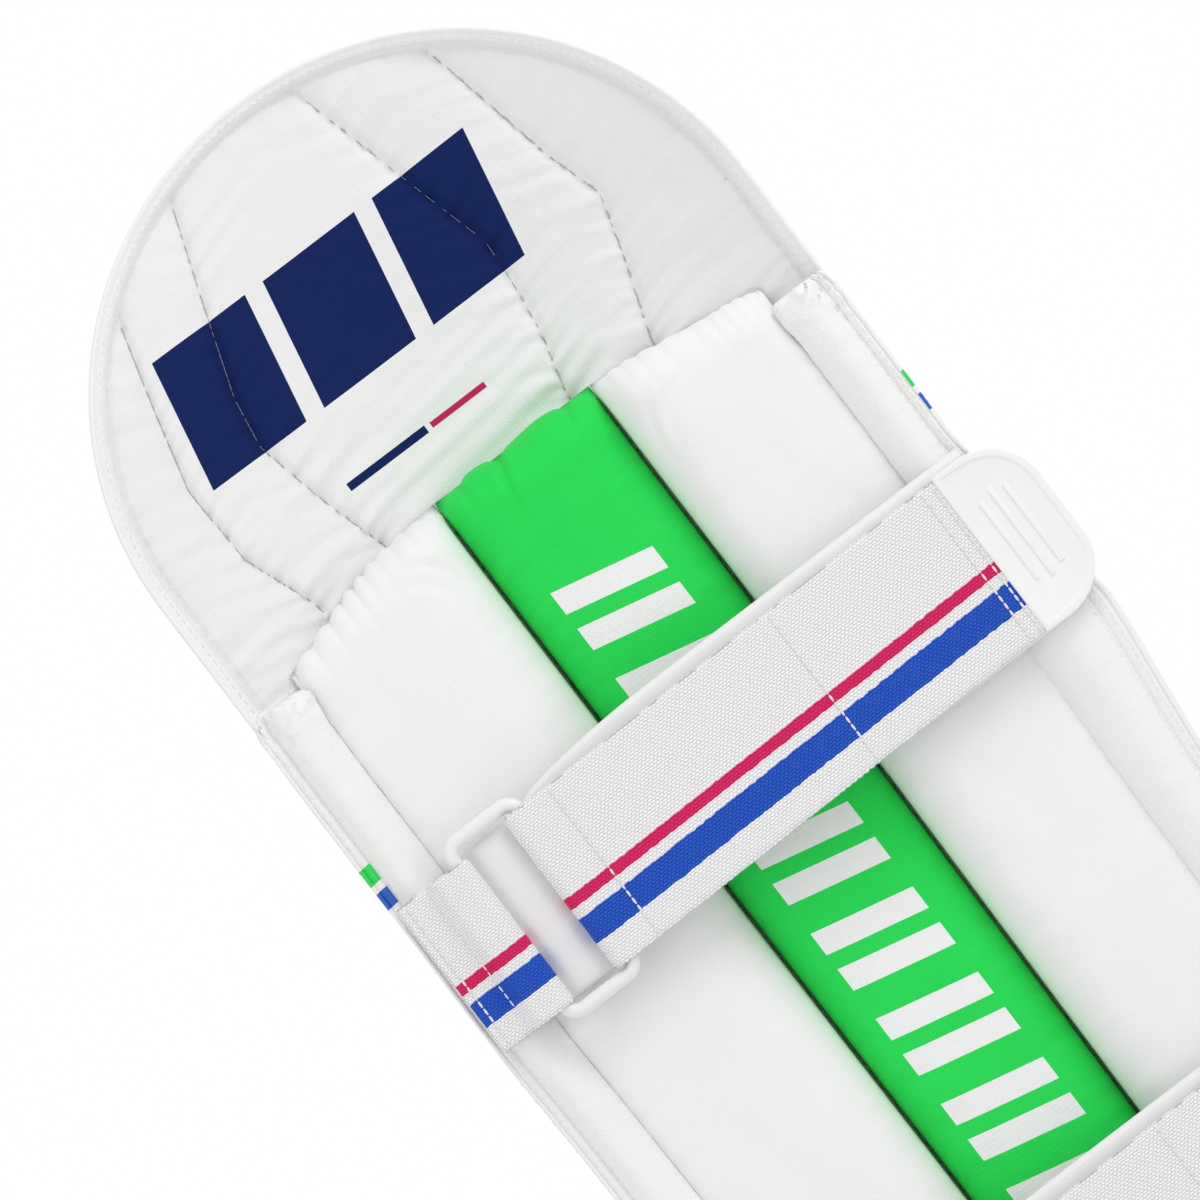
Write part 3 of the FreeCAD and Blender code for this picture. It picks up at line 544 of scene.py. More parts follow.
for side_name, side in (("left", -1), ("right", 1)):

    def wing_point(s, t, back):
        z = WING_TOP * (1 - (1 - t) ** ROW_CROWDING)
        inner = WING_LOW + (WING_HIGH - WING_LOW) * min(1, z / SHIN_TOP)
        across, y = outline_point(WING_OUTLINE, s)
        flare = between(FLARE, z) if side > 0 else 0
        roll = ridge(across - 5, 5) * (1 if y < -40 else 0)
        y -= roll * (0.5 * wander(z / 24, side, 5) + 0.45 * pucker(abs(across - 9.5), z, 4, 8, side))
        across *= (WING_MARGIN + flare) / WING_MARGIN
        across += 0.5 * wander(z / 45, y / 30, side)
        flank = min(1, max(0, (across - 14) / 3)) * min(1, max(0, (y + 45) / 3))
        flank *= 0.6 * pucker(y + 44, z, 7, 9, side + 3) + 0.4 * pucker(abs(y + 11), z, 6, 11, side + 7)
        across += flank
        # The roll on the leg side is carried up behind the flap, and its end is tucked in.
        carried = min(1, max(0, (-42.6 - y) / 2.6))
        closing = 1 - shoulder(WING_TOP - z, 11)
        z += WING_RISE[side] * carried * max(0, (z - 430) / (WING_TOP - 430)) ** 2
        from_top = WING_TOP + WING_RISE[side] - z
        crumple = fading(max(0, from_top), 13)
        valley = max(0, 1 - abs(wander(across / 5 + z / 19, z / 6, side + 4)) / 0.13)
        cross_valley = max(0, 1 - abs(wander(across / 7 - z / 9, z / 11, side + 14)) / 0.10)
        bunch = crumple * (2.4 * abs(wander(across / 6, z / 8, side)) + 1.0 * valley + 1.0 * cross_valley - 0.8)
        across -= 3.0 * carried * max(0, 1 - across / 9) * ridge(from_top, 12)
        wrinkle = 1.5 * wander(z / 6, y / 4, side + 9) + 0.8 * wander(z / 3, y / 3, side + 19)
        across += carried * crumple * wrinkle
        x = inner + 0.15 + across + (9.5 - across) * 0.3 * closing
        return Vector((side * x, y + (closing * 2.6 + bunch * carried if y < -41 else -1.5 * closing), z))

    skin = sew(104, 200, wing_point, (130, WING_TOP), closed=True)
    for place, (out, back) in WING_ROWS:
        def wing_row(t):
            spot = wing_point(place, 1 - (1 - t) ** (1 / ROW_CROWDING), False)
            return spot + Vector((side * out, back, 0))

        stitch_row(skin, wing_row, WING_TOP, 3.2, 2.4, 0.24)
    wing = finish_piece(f"{side_name}_wing_cover", skin, [wing_pu], "pad",
                        [f"{side_name}_wing", f"{side_name}_edge_binding"])

# ---- Top flap ribs -------------------------------------------------------------------------------------------
# The flap's ball side is five upright foam ribs in PU cloth that fan out under a round top. Their feet slope
# up towards the front, so that the flap can fold forward over the top knee roll.
FLAP_BASE = 543.31
FLAP_CENTRE = 597.155
FLAP_RADIUS, FLAP_EDGE = 119.5, 122.855
SEAM_ANGLES = (-26.8, -19.3, -12.4, 7.1, 16.1, 26.8)
FOOT_SLOPE = math.tan(math.radians(20))


def flap_top(x, radius):
    """The height of the flap's round outline at x, for an outline of that radius."""
    return FLAP_CENTRE + math.sqrt(max(0, radius * radius - x * x))


def edge_gap(x, z):
    """How far a point of the flap is inside its outer edge."""
    return FLAP_EDGE - (math.hypot(x, z - FLAP_CENTRE) if z > FLAP_CENTRE else abs(x))


for number in range(5):
    ends = [max(-1, min(1, 266 * math.sin(math.radians(angle)) / FLAP_RADIUS))
            for angle in SEAM_ANGLES[number:number + 2]]
    start, stop = (math.asin(end) for end in ends)

    def flap_rib_point(s, t, back):
        spot = start + s * (stop - start)
        x = FLAP_RADIUS * math.sin(spot) + (0.2 - 0.4 * s)
        top = flap_top(x, FLAP_RADIUS)
        z = FLAP_BASE + t * (top - FLAP_BASE)
        outer_side = (number == 0 and s < 0.5) or (number == 4 and s > 0.5)
        swell = 1 if outer_side else dome(s, 2.6)
        rim = shoulder(edge_gap(x, z) - 3.2, 20, 2.2)
        foot = shoulder(t * (top - FLAP_BASE), 9)
        folds = 0.0 if outer_side else 0.5 * pucker(min(s, 1 - s) * 40, z, 6, 8, number + (2 if s < 0.5 else 0))
        rise = 0.7 * wander(number, z / 50, x / 40)
        radius = RIB_FLOOR + 1.5 + swell * ((7 + 11 * rim) * (0.35 + 0.65 * foot) + (folds + rise) * rim * foot)
        if back:
            radius = COVER_BACK
        y = depth(radius, x)
        lowest = FLAP_BASE + max(0, y) * FOOT_SLOPE
        return Vector((x, y, lowest + t * (top - lowest)))

    skin = sew(40, 90, flap_rib_point, (60, 160))
    rib = finish_piece(f"flap_rib_cover_{number + 1}", skin, [white_pu], "top_flap",
                       [f"flap_rib_{number + 1}"])

# ---- Flap lining ---------------------------------------------------------------------------------------------
# The flap's leg side is white nylon quilted over thin foam: four curved seams part it into five petals, and
# the stitching draws the cloth into short folds. A plain navy sash of three blocks is printed across it.
LINING_CROWN, LINING_BACK = 250.3, 259.6
LINING_PROUDEST, LINING_DEEPEST = 249.4, 257.5
STITCH_INSET = 6.6
QUILT_SEAMS = (
    ((543, -76), (570, -82), (594, -91), (624, -92), (652, -85), (685, -76), (720, -62)),
    ((543, -44), (570, -51), (594, -58), (621.5, -64), (640, -61), (675, -49), (703, -39), (720, -33)),
    ((543, 25), (575, 30), (594, 35), (615, 38), (631, 39), (655, 32.5), (708, 19), (720, 16)),
    ((543, 57), (572, 64), (598, 73), (620, 79.5), (642, 73), (687, 64), (720, 56)))
SEAM_SLANT = 0.96
QUILT_FOOT, QUILT_HEAD = 552, 706
RIM_FOOT, RIM_RADIUS = 549, FLAP_EDGE - STITCH_INSET


def lining_print(tree, solid, tone):
    """Three slanted navy blocks in a row with a thin two-colour bar under them."""
    axes = add(tree, "SeparateXYZ", (solid,))
    for shapes, height, half, slant, code in (
            (((-0.0610, 0.0195), (-0.0145, 0.0195), (0.0320, 0.0195)), 0.6425, 0.0235, 0.2, "#10235A"),
            (((-0.0320, 0.0165),), 0.5925, 0.0015, 0, "#10235A"),
            (((-0.0020, 0.0115),), 0.5925, 0.0011, 0, "#C4265E")):
        shear = add(tree, "Math", (axes.outputs["Z"], height), operation="SUBTRACT")
        upright = add(tree, "Math", (shear, -slant, axes.outputs["X"]), operation="MULTIPLY_ADD")
        row = add(tree, "Math", (shear, 0, half), operation="COMPARE")
        for middle, half_width in shapes:
            column = add(tree, "Math", (upright, middle, half_width), operation="COMPARE")
            block = add(tree, "Math", (row, column), operation="MULTIPLY")
            tone = add(tree, "Mix", {0: block, 6: tone, 7: paint(code)}, data_type="RGBA").outputs[2]
    return tone


def nearest_seam(x, z):
    """The distance to the nearest quilting seam, with its sign, and that seam's number."""
    gaps = [(x - between(seam, z)) * SEAM_SLANT for seam in QUILT_SEAMS]
    number = min(range(len(gaps)), key=lambda k: abs(gaps[k]))
    return gaps[number], number


def lining_radius(x, z):
    """How far the quilted cloth is from the plan axis at a point of the elevation: less is nearer the leg."""
    gap, number = nearest_seam(x, z)
    inside = edge_gap(x, z) - STITCH_INSET
    if inside < -0.8:
        return LINING_CROWN + 0.6
    sink = 2.3 * fading(abs(gap), 6.5) + 1.5 * ridge(gap, 1.3)
    low = 0.55 + 0.65 * fading(max(0, z - 560), 45)
    strength = low * (1.0 if gap > 0 else 0.6) * (1.3 if number == 2 else 1)
    side = 0.5 if gap > 0 else 0
    drift = 0.35 * abs(gap)
    fold = strength * (0.75 * pucker(abs(gap), z - drift, 7, 5.2, number + side)
                       + 1.1 * pucker(abs(gap), z - drift, 19, 11, number + side + 20))
    around = math.atan2(x, z - FLAP_CENTRE) * 120 if z > FLAP_CENTRE else z
    within = max(0, inside)
    sink += 1.9 * fading(within, 7) + 1.2 * ridge(inside, 1.1)
    fold += 0.35 * pucker(within, around, 6, 5.5, 9.1) + 0.3 * pucker(within, around, 14, 14, 4.4)
    pillow = 0.8 * wander(x / 38, z / 38, 8) + 0.3 * wander(x / 12, z / 12, 3)
    tight = ridge(z - 573, 42) * (1 - 0.4 * abs(x) / 120)
    pillow += 1.3 * tight * wander(x / 44 + z / 60, (z - 0.12 * x) / 5.2, 6.4)
    deep = shoulder(inside + 0.8, 6)
    return LINING_CROWN + (sink - fold * 0.9 - pillow + 0.5) * deep + 0.6 * (1 - deep)


def lining_point(s, t, back):
    x = FLAP_RADIUS * math.sin(math.radians(180 * s - 90))
    z = FLAP_BASE + 0.1 + t * (flap_top(x, FLAP_RADIUS) - FLAP_BASE - 0.2)
    radius = LINING_BACK if back else min(LINING_DEEPEST, max(LINING_PROUDEST, lining_radius(x, z)))
    return Vector((x, depth(radius, x), z))


def quilt_line(seam):
    """A line of points down a quilting seam, on the cloth."""
    def point(t):
        z = QUILT_FOOT + t * (QUILT_HEAD - QUILT_FOOT)
        x = between(seam, z)
        while edge_gap(x, z) < STITCH_INSET + 1:
            z -= 2
            x = between(seam, z)
        return Vector((x, depth(lining_radius(x, z) - 0.38, x), z))
    return point


def edge_length(foot, radius):
    """The length of a line that follows the flap's edge from its left foot to its right foot."""
    return 2 * (FLAP_CENTRE - foot) + math.pi * radius


def follow_edge(t, foot, radius):
    """A point on that line, and the way out from it: up one side, over the round top and down the other."""
    rise, total = FLAP_CENTRE - foot, edge_length(foot, radius)
    place = t * total
    if place < rise:
        return -radius, foot + place, -1, 0
    if place > total - rise:
        return radius, foot + total - place, 1, 0
    turn = math.pi - (place - rise) / radius
    return radius * math.cos(turn), FLAP_CENTRE + radius * math.sin(turn), math.cos(turn), math.sin(turn)


def rim_line(t):
    """The row of stitches that follows the flap's edge."""
    x, z = follow_edge(t, RIM_FOOT, RIM_RADIUS)[:2]
    return Vector((x, depth(lining_radius(x, z) - 0.12, x), z))


lining_nylon = woven_cloth("white quilted nylon lining", "#EFEFEF", 0.7, 0.25, 0.75, 0.0, mottle=0.03,
                           print_on=lining_print)
grey_cotton = woven_cloth("grey polyester quilting thread", "#9B9EA3", 0.5, 0.3, 0.6, 0)
skin = sew(236, 168, lining_point, (239, 175))
for seam in QUILT_SEAMS:
    stitch_row(skin, quilt_line(seam), 160, 2.1, 2.6, 0.14, 1)
stitch_row(skin, rim_line, edge_length(RIM_FOOT, RIM_RADIUS), 2.8, 2.3, 0.17, 2)
lining = finish_piece("flap_lining_cover", skin, [lining_nylon, grey_cotton, cotton],
                      "top_flap", ["flap_lining"])

# ---- Flap and instep bindings --------------------------------------------------------------------------------
# A folded white tape is sewn over the raw edge of the flap, and another over the instep arch: a rounded edge
# and a flat lip on each face, held by one row of stitches.
TAPE_LIP = 3.2
TAPE_RADIUS = 121.3
ARCH_TAPE_RADIUS, ARCH_TAPE_FOOT, ARCH_TAPE_LENGTH = 52.6, 52.2, 130
binding_tape = polyurethane("white PU binding tape")


def tape_round(name, path, length, rear, front, body, replaced, rows):
    """A binding tape along path(t), which gives x, z and the outward direction in the elevation."""
    rear_lip = ((-TAPE_LIP, 2.4), (-TAPE_LIP, 1.5), (-1.8, 1.35), (-0.8, 0.9), (0.2, 0.35), (1.1, 0.9),
                (1.5, 2.6), (1.5, 6))
    front_lip = ((1.5, -5), (1.45, -1.4), (0.9, -0.4), (-0.6, -0.3), (-2, -0.4), (-TAPE_LIP, -0.6),
                 (-TAPE_LIP, -1.5), (-2, -1.6), (-1.2, -2.2), (-1.0, -5))
    inner_face = ((-1.0, 5), (-1.2, 3.2), (-2, 2.5))
    outline = [(offset, face + rise) for lip, face in ((rear_lip, rear), (front_lip, front), (inner_face, rear))
               for offset, rise in lip]

    def tape_point(s, t, back):
        offset, radius = outline_point(outline, s)
        x, z, away_x, away_z = path(t)
        x += offset * away_x
        radius += 0.15 * wander(t * length / 9, s * 4, 2)
        return Vector((x, depth(radius, x), z + offset * away_z))

    skin = sew(40, rows, tape_point, (60, length), closed=True)

    def stitch_line(t):
        x, z, away_x, away_z = path(t)
        x -= 2.3 * away_x
        return Vector((x, depth(rear + 1.3, x), z - 2.3 * away_z))

    stitch_row(skin, stitch_line, length, 3.4, 2.3, 0.2, 1)
    finish_piece(name, skin, [binding_tape, cotton], body, replaced)


def flap_edge(t):
    """The flap's outline from its left foot over the round top to its right foot."""
    return follow_edge(t, FLAP_BASE, TAPE_RADIUS)


def instep_edge(t):
    """The arch over the instep from left to right; outward is towards the arch's own middle."""
    foot = math.asin(ARCH_DROP / ARCH_TAPE_FOOT)
    angle = math.pi - foot - t * (math.pi - 2 * foot)
    x, z = ARCH_TAPE_RADIUS * math.cos(angle), ARCH_TAPE_RADIUS * math.sin(angle) - ARCH_DROP
    return x, z, -math.cos(angle), -math.sin(angle)


tape_round("flap_edge_tape", flap_edge, edge_length(FLAP_BASE, TAPE_RADIUS), 249.1, 271, "top_flap",
           ["flap_binding"], 320)
tape_round("instep_edge_tape", instep_edge, ARCH_TAPE_LENGTH, 249.2, 277, "pad", ["instep_binding"], 90)

# ---- Fold gusset ---------------------------------------------------------------------------------------------
# A strip of stretch cloth inside the fold joins the backing board to the flap, so that no gap opens between
# them as the flap folds forward. It is bonded into both.
GUSSET_LOW, GUSSET_HIGH = 534, 549.5
GUSSET_HALF = 120.6
GUSSET_INNER, GUSSET_OUTER = 253.5, 257


def gusset_point(s, t, back):
    x = (2 * s - 1) * GUSSET_HALF
    outside = shoulder(abs(x) - 102, 4)
    inner, outer = GUSSET_INNER - 2.6 * outside, GUSSET_OUTER + 10 * outside
    gathers = outside * 0.7 * math.sin(x * 2 * math.pi / 4.3 + 2 * wander(x / 9, 1, 1))
    radius = outer + gathers if back else inner + gathers * 0.6
    return Vector((x, depth(radius, x), GUSSET_LOW + t * (GUSSET_HIGH - GUSSET_LOW)))


gusset = finish_piece("fold_gusset", sew(200, 24, gusset_point, (241, 16)), [brushed_nylon])
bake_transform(gusset)

# ---- Strap loops ---------------------------------------------------------------------------------------------
# Each loop is a closed ring of white acetal, injection moulded round a 5 mm section, that hangs in its
# webbing tab on the left wing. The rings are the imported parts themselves.


def moulded(name, tones, cloud_scale, grain_scale, strength, depth_mm, shader):
    """A white moulding: faintly clouded, with a fine grain off the mould."""
    finish, tree, solid = new_finish(name)
    cloud = add(tree, "TexNoise", {"Vector": solid, "Scale": cloud_scale, "Detail": 3})
    grain = add(tree, "TexNoise", {"Vector": solid, "Scale": grain_scale, "Detail": 2})
    close_finish(tree, tones, cloud, grain, strength, depth_mm, shader)
    return finish


# Acetal is hard and slightly glossy, from a polished mould.
loop_plastic = moulded("white moulded acetal", ("#F6F6F6", "#EDEDEC"), 60, 2500, 0.15, 0.1,
                       {"Roughness": 0.3, "IOR": 1.48})
for name in STRAPS:
    nodes[f"{name}_loop"].data.materials[0] = loop_plastic

# ---- Straps --------------------------------------------------------------------------------------------------
# A strap is two layers: a smooth satin band sewn to the right wing, and coarse striped webbing that turns back
# round the loop's free bar and closes on the band with hook tape. A short tab of the webbing holds the loop,
# a satin guard fills it, and a moulded rubber tab on the webbing's end is there to pull it open.
WEBBING_WIDTH, WEBBING_THICKNESS = 62.5, 1.6
STRIPES = ((0.0, "#FFFFFF"), (0.536, "#EA1C6C"), (0.603, "#FFFFFF"), (0.667, "#1D5CD0"), (0.827, "#FFFFFF"))
STRAP_HEIGHTS = {"knee": 441, "calf": 228, "ankle": 88}
STRAP_FRONT, STRAP_REAR = -51.18, -52.78
BAR_DEPTH = -55.58
PEEL_DEPTH = -59.18
WRAP = 3.6
GUARD_WIDTH, GUARD_DEPTH = 60, -49.7
# Distances across the pad: from the wing to the loop's held bar, from that bar to the free one, and from the
# wing to where the band is sewn down and the webbing ends. The wrap's two turns lie to either side of the bar.
HELD_INSET, BAR_SPACING, SEWN_REACH, END_REACH = 8.4, 28, 17, 7
FOLD_BACK, PEEL_OUT = 2.6, 3.1
END_DROP = 4.3

webbing_weave, tree, solid = new_finish("striped polyester webbing")
uv = add(tree, "UVMap", uv_map="cloth")
# The weave shows as rows of short grains: 1.7 mm long, 1 mm apart, each row half a grain on from the last.
ribs = add(tree, "TexBrick", {
    "Vector": uv, "Scale": 1, "Brick Width": 0.0017, "Row Height": 0.0010, "Mortar Size": 0.00026,
    "Mortar Smooth": 1})
fuzz = add(tree, "TexNoise", {"Vector": solid, "Scale": 1500, "Detail": 2})
rib_rise = add(tree, "Math", (ribs.outputs["Fac"], -2.0, fuzz), operation="MULTIPLY_ADD")
rib_bump = add(tree, "Bump", {"Height": rib_rise, "Strength": 0.6, "Distance": 0.0003})
uv_axes = add(tree, "SeparateXYZ", (uv,))
down = add(tree, "Math", (uv_axes.outputs["Y"], -1000 / WEBBING_WIDTH, 1), operation="MULTIPLY_ADD")
# The stripes' edges step from thread to thread, by up to half a millimetre.
waver = add(tree, "TexNoise", {"Vector": uv, "Scale": 420, "Detail": 1})
edge_step = add(tree, "Math", (waver, 0.016, -0.008), operation="MULTIPLY_ADD")
stepped = add(tree, "Math", (down, edge_step), operation="ADD")
stripes = add(tree, "ValToRGB", (stepped,))
stripes.color_ramp.interpolation = "CONSTANT"
for number, (start, colour) in enumerate(STRIPES):
    stop = stripes.color_ramp.elements[0] if number == 0 else stripes.color_ramp.elements.new(start)
    stop.color = paint(colour)
stripes.color_ramp.elements[len(STRIPES)].color = paint("#FFFFFF")
# Painted shade: the gaps between the grains are greyed a little.
shadow = add(tree, "Mix", {0: ribs.outputs["Fac"], 6: stripes, 7: paint("#F1F1F4")},
             data_type="RGBA", blend_type="MULTIPLY")
# Painted shade between the grains: there a dyed thread is darkened to a deeper colour, and a white one stays
# white.
deep = add(tree, "Math", (ribs.outputs["Fac"], fuzz), operation="MULTIPLY")
gap_shaded_stripes = add(tree, "Mix", {0: deep, 6: shadow.outputs[2], 7: stripes}, data_type="RGBA",
           blend_type="MULTIPLY")
webbing_face = add(tree, "BsdfPrincipled", {
    "Base Color": gap_shaded_stripes.outputs[2], "Roughness": 0.6, "Normal": rib_bump, "Specular IOR Level": 0.3})
add(tree, "OutputMaterial", {"Surface": webbing_face})

satin = woven_cloth("white satin loop band", "#F4F4F4", 0.6, 0.15, 0.5, 0.3, mottle=0.02)


def run_along(points, place):
    """A point and its sideways direction a fraction of the way along a line of plan points."""
    lengths = [(Vector(b) - Vector(a)).length for a, b in zip(points, points[1:])]
    rest = place * sum(lengths)
    for (a, b), length in zip(zip(points, points[1:]), lengths):
        if rest <= length + 1e-6:
            run = (Vector(b) - Vector(a)) / length
            return Vector(a) + run * rest, Vector((-run.y, run.x))
        rest -= length
    return Vector(points[-1]), Vector((-run.y, run.x))


def ring(centre, radius, start, stop, steps=9):
    """Plan points on an arc between two angles in degrees."""
    turns = [math.radians(start + (stop - start) * k / steps) for k in range(steps + 1)]
    return [(centre[0] + radius * math.cos(turn), centre[1] + radius * math.sin(turn)) for turn in turns]


def strip(points, height, width, steps, tilt=None):
    """Webbing laid along a line of plan points, its edges rounded, its stripes running along it."""
    length = sum((Vector(b) - Vector(a)).length for a, b in zip(points, points[1:]))

    def strip_point(s, t, back):
        spot, away = run_along(points, s)
        edge = shoulder(min(t, 1 - t) * width, 1.2, 2)
        half = WEBBING_THICKNESS / 2 * edge + 0.06 * wander(s * length / 8, t * 9, 1)
        spot += away * half * (-1 if back else 1)
        ripple = 0.22 * math.sin(2 * math.pi * s * length / 2.6) * ((t > 0.99) - (t < 0.01))
        lean = tilt(spot.x) if tilt else 0
        return Vector((spot.x, spot.y, height + (t - 0.5) * width + ripple + lean))

    return sew(int(length * steps), 48, strip_point, (length, WEBBING_WIDTH))


def cross_stitches(seam, x, y, height, width, lean=0):
    """A line of short stitches down the webbing, standing just proud of it."""
    stitch_row(seam, lambda t: Vector((x, y, height + lean + (t - 0.5) * width)), width, 3.0, 2.9, 0.5, 1)


# Thermoplastic rubber is duller, from a matt mould.
rubber = moulded("white moulded TPR rubber", ("#FAFAFA", "#F3F3F2"), 45, 1600, 0.25, 0.12,
                 {"Roughness": 0.48, "IOR": 1.5})
PULL_LENGTH, PULL_WIDTH, PULL_THICKNESS, PULL_CORNER, PULL_RIM = 27, 64, 3, 20, 2.5

for name, height in STRAP_HEIGHTS.items():
    inside = WING_LOW + (WING_HIGH - WING_LOW) * min(1, height / SHIN_TOP)
    held = HELD_INSET - inside
    free = held + BAR_SPACING
    sewn = inside + SEWN_REACH
    fold, peel = free - FOLD_BACK, free + PEEL_OUT
    end_length = inside + END_REACH - peel
    slope = math.asin(END_DROP / end_length)
    middle = (STRAP_FRONT + STRAP_REAR) / 2

    def lean(x):
        return 0.016 * max(0, x - peel - 4)

    # The satin band against the leg, with its upper edge a little above the webbing.
    def satin_point(s, t, back):
        x = fold + 1 + s * (sewn - fold - 1)
        drape = 0.25 * wander(x / 30, t * 3, height)
        edge = max(0.06, shoulder(min(t, 1 - t) * WEBBING_WIDTH, 1.0, 2))
        y = middle + (0.7 if back else -0.7) * edge + drape * (1 - abs(2 * s - 1) ** 6) * 0.6
        rise = 8.5 * (shoulder(s, 0.35, 2) if s < 0.35 else 1)
        return Vector((x, y, height + (t - 0.5) * (WEBBING_WIDTH - 1.5) + rise * (0.2 + 0.8 * t) - 1.0))

    skin = sew(150, 30, satin_point, (sewn - fold, WEBBING_WIDTH))
    for offset in (2.2, 5.4):
        stitch_row(skin, lambda t: Vector((sewn - offset, middle - 0.85, height + 2 + (t - 0.5) * 58)), 58,
                   material=1)
    finish_piece(f"{name}_satin_band", skin, [satin, cotton], f"{name}_strap_body",
                 [f"{name}_strap"])

    # A satin guard sewn in with the loop's tab fills the loop, so that the leg never touches the plastic.
    guard = held - 3

    def guard_point(s, t, back):
        x = guard + s * (fold + 12 - guard)
        from_edge = min(t, 1 - t) * GUARD_WIDTH
        edge = max(0.06, shoulder(from_edge, 2, 2))
        swell = 2.3 * math.exp(-((x - held - 12.7) / 7.5) ** 4) * (0.6 + 0.4 * shoulder(from_edge, 9))
        y = GUARD_DEPTH - swell + (0.5 if back else -0.5) * edge + 0.25 * wander(x / 9, t * 5, height)
        return Vector((x, y, height - 0.5 + (t - 0.5) * GUARD_WIDTH))

    finish_piece(f"{name}_loop_guard", sew(44, 60, guard_point, (42, GUARD_WIDTH)), [satin], "pad")

    # The webbing: up from the band, round the free bar and back along the outside.
    ends_at = Vector((peel + end_length * math.cos(slope), PEEL_DEPTH + end_length * math.sin(slope)))
    line = ([(fold + 7, middle - 0.3)] + ring((fold, BAR_DEPTH), WRAP, 90, 270)
            + [(peel, PEEL_DEPTH), tuple(ends_at)])
    skin = strip(line, height, WEBBING_WIDTH, 0.8, lean)
    for share in (0.02, 0.55, 0.92, 0.945):
        spot = Vector((peel, PEEL_DEPTH)).lerp(ends_at, share + 0.03)
        cross_stitches(skin, spot.x, spot.y - 0.95, height, WEBBING_WIDTH - 2, lean(spot.x))
    webbing = finish_piece(f"{name}_webbing", skin, [webbing_weave, cotton], None,
                           [f"{name}_strap_end"])
    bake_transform(webbing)

    # The pull tab: a moulded plate with a raised rim, two big corner rounds and three grip bars.
    half = PULL_WIDTH / 2
    corner_x = PULL_LENGTH - PULL_CORNER
    edge_line = ([(-3.0, -half), (corner_x, -half)]
                 + ring((corner_x, -half + PULL_CORNER), PULL_CORNER, -90, 0, 10)[1:]
                 + ring((corner_x, half - PULL_CORNER), PULL_CORNER, 0, 90, 10) + [(-3.0, half)])
    tab = bmesh.new()
    rim_face = tab.faces.new([tab.verts.new((x, -PULL_THICKNESS / 2, z)) for x, z in edge_line])
    body_geometry = bmesh.ops.extrude_face_region(tab, geom=[rim_face])["geom"]
    bmesh.ops.translate(tab, vec=(0, PULL_THICKNESS - 0.1, 0),
                        verts=[v for v in body_geometry if isinstance(v, bmesh.types.BMVert)])
    bmesh.ops.recalc_face_normals(tab, faces=tab.faces)
    outer = [face for face in tab.faces if face.normal.y < -0.9]
    bmesh.ops.inset_region(tab, faces=outer, thickness=PULL_RIM)
    bmesh.ops.inset_region(tab, faces=outer, thickness=0.5, depth=-0.6)
    corners = [edge for edge in tab.edges if edge.calc_face_angle(0) > 0.35]
    bmesh.ops.bevel(tab, geom=corners, offset=0.35, affect="EDGES", segments=2, profile=0.5, material=-1)
    for bar in (-1, 0, 1):
        spot = (Matrix.Translation((10.5 + bar * 5, -1, 0))
                @ Matrix.Diagonal((2, 1.2, 36 - abs(bar) * 4, 1)))
        block = bmesh.ops.create_cube(tab, size=1, matrix=spot)
        edges = list({edge for vert in block["verts"] for edge in vert.link_edges})
        bmesh.ops.bevel(tab, geom=edges, offset=0.45, affect="EDGES", segments=3, profile=0.5, material=-1)
    bmesh.ops.triangulate(tab, faces=[face for face in tab.faces if len(face.verts) > 4])
    place = (Matrix.Translation((ends_at.x / 1000, ends_at.y / 1000, (height + lean(ends_at.x)) / 1000))
             @ Matrix.Rotation(slope, 4, "Z") @ Matrix.Diagonal((0.001, 0.001, 0.001, 1)))
    bmesh.ops.transform(tab, matrix=place, verts=tab.verts)
    pull = finish_piece(f"{name}_pull_tab_cover", tab, [rubber], f"{name}_strap_end_body",
                        [f"{name}_pull_tab"])
    pull.data.set_sharp_from_angle(angle=math.radians(40))

    # The loop tab: webbing doubled round the held bar, sewn flat to the wing.
    tab_end = -inside - 16
    line = ([(tab_end, middle), (held, middle)] + ring((held, BAR_DEPTH), WRAP, 90, -90)[1:]
            + [(held - 9, BAR_DEPTH - WRAP + 0.6), (held - 13, middle - 1.9), (tab_end - 0.6, middle - 1.7)])
    skin = strip(line, height - 1.2, 59.4, 1.2)
    for offset in (2.5, 11.2):
        cross_stitches(skin, tab_end + offset, middle - 2.7, height - 1.2, 57)
    finish_piece(f"{name}_loop_tab_cover", skin, [webbing_weave, cotton], "pad",
                 [f"{name}_loop_tab"])

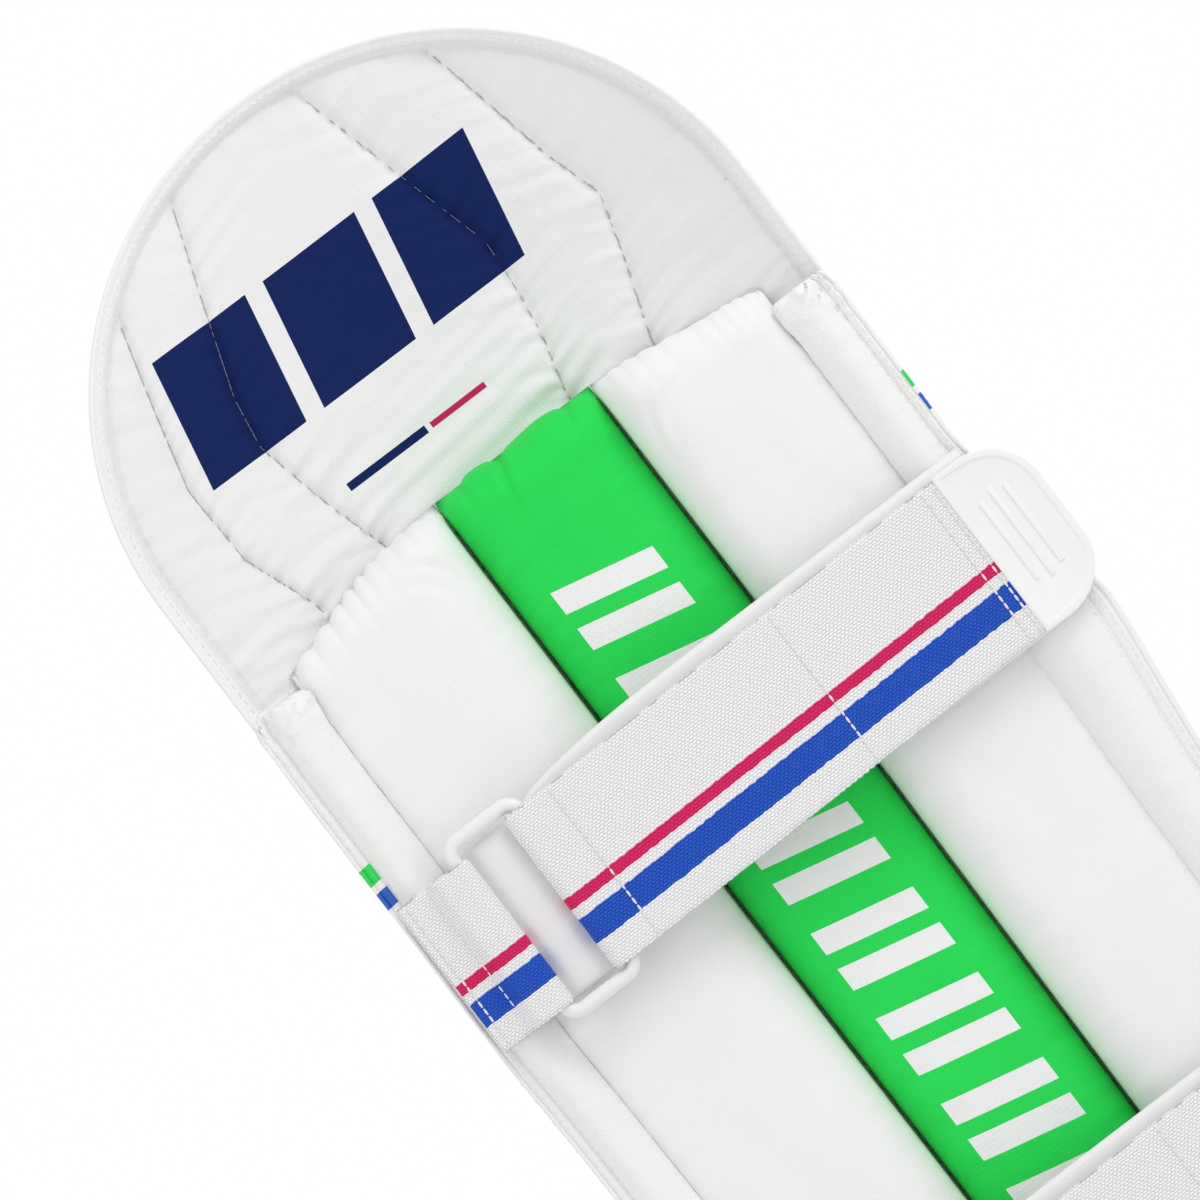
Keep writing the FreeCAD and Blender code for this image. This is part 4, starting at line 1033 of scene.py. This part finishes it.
# ---- Stage, camera and light ---------------------------------------------------------------------------------
# A pale floor under the pad, an even white surround, and three large soft lamps. The camera looks straight at
# the leg side through a long lens, rolled so that the pad leans to the left.
floor_finish, tree = new_finish("pale studio floor")[:2]
floor_face = add(tree, "BsdfPrincipled", {
    "Base Color": paint("#F0F0F0"), "Roughness": 0.9, "Specular IOR Level": 0.1})
add(tree, "OutputMaterial", {"Surface": floor_face})
ground = bmesh.new()
bmesh.ops.create_grid(ground, x_segments=2, y_segments=2, size=3)
floor_mesh = bpy.data.meshes.new("floor")
ground.to_mesh(floor_mesh)
ground.free()
floor_mesh.materials.append(floor_finish)
floor = put_in_scene("floor", floor_mesh)

scene = bpy.context.scene
scene.view_settings.view_transform = "Standard"
WORLD_LEVEL = 0.72
world = bpy.data.worlds.new("studio surround")
world.use_nodes = True
tree = world.node_tree
tree.nodes.clear()
path = add(tree, "LightPath")
glossy = add(tree, "Math", (path.outputs["Is Camera Ray"], path.outputs["Is Glossy Ray"]), operation="MAXIMUM")
seen = add(tree, "Math", (glossy, path.outputs["Is Transmission Ray"]), operation="MAXIMUM")
strength = add(tree, "MapRange", (seen, 0.0, 1.0, WORLD_LEVEL, 1.0))
sky = add(tree, "Background", {"Color": (1, 1, 1, 1), "Strength": strength})
add(tree, "OutputWorld", {"Surface": sky})
scene.world = world

for name, place, aim, size, power in (
        ("key", (1.15, -0.95, 1.7), (0, 0, 0.5), 0.9, 10.5),
        ("fill", (-1.5, -1.5, 0.9), (0, 0, 0.45), 1.4, 4.5),
        ("back", (0.3, 1.8, 1.3), (0, 0, 0.4), 1.4, 9)):
    lamp = bpy.data.lights.new(name, "AREA")
    lamp.size = size
    lamp.energy = power
    light = put_in_scene(name, lamp)
    light.location = place
    light.rotation_euler = (Vector(aim) - Vector(place)).to_track_quat("-Z", "Y").to_euler()

LENS, DISTANCE = 200, 2.222
view = bpy.data.cameras.new("camera")
view.lens = LENS
view.clip_end = 20
camera = put_in_scene("camera", view)
camera.location = (-0.004, -0.05 - DISTANCE, 0.5106)
camera.rotation_euler = (math.radians(90), math.radians(37.4), 0)
scene.camera = camera

bpy.context.view_layer.update()
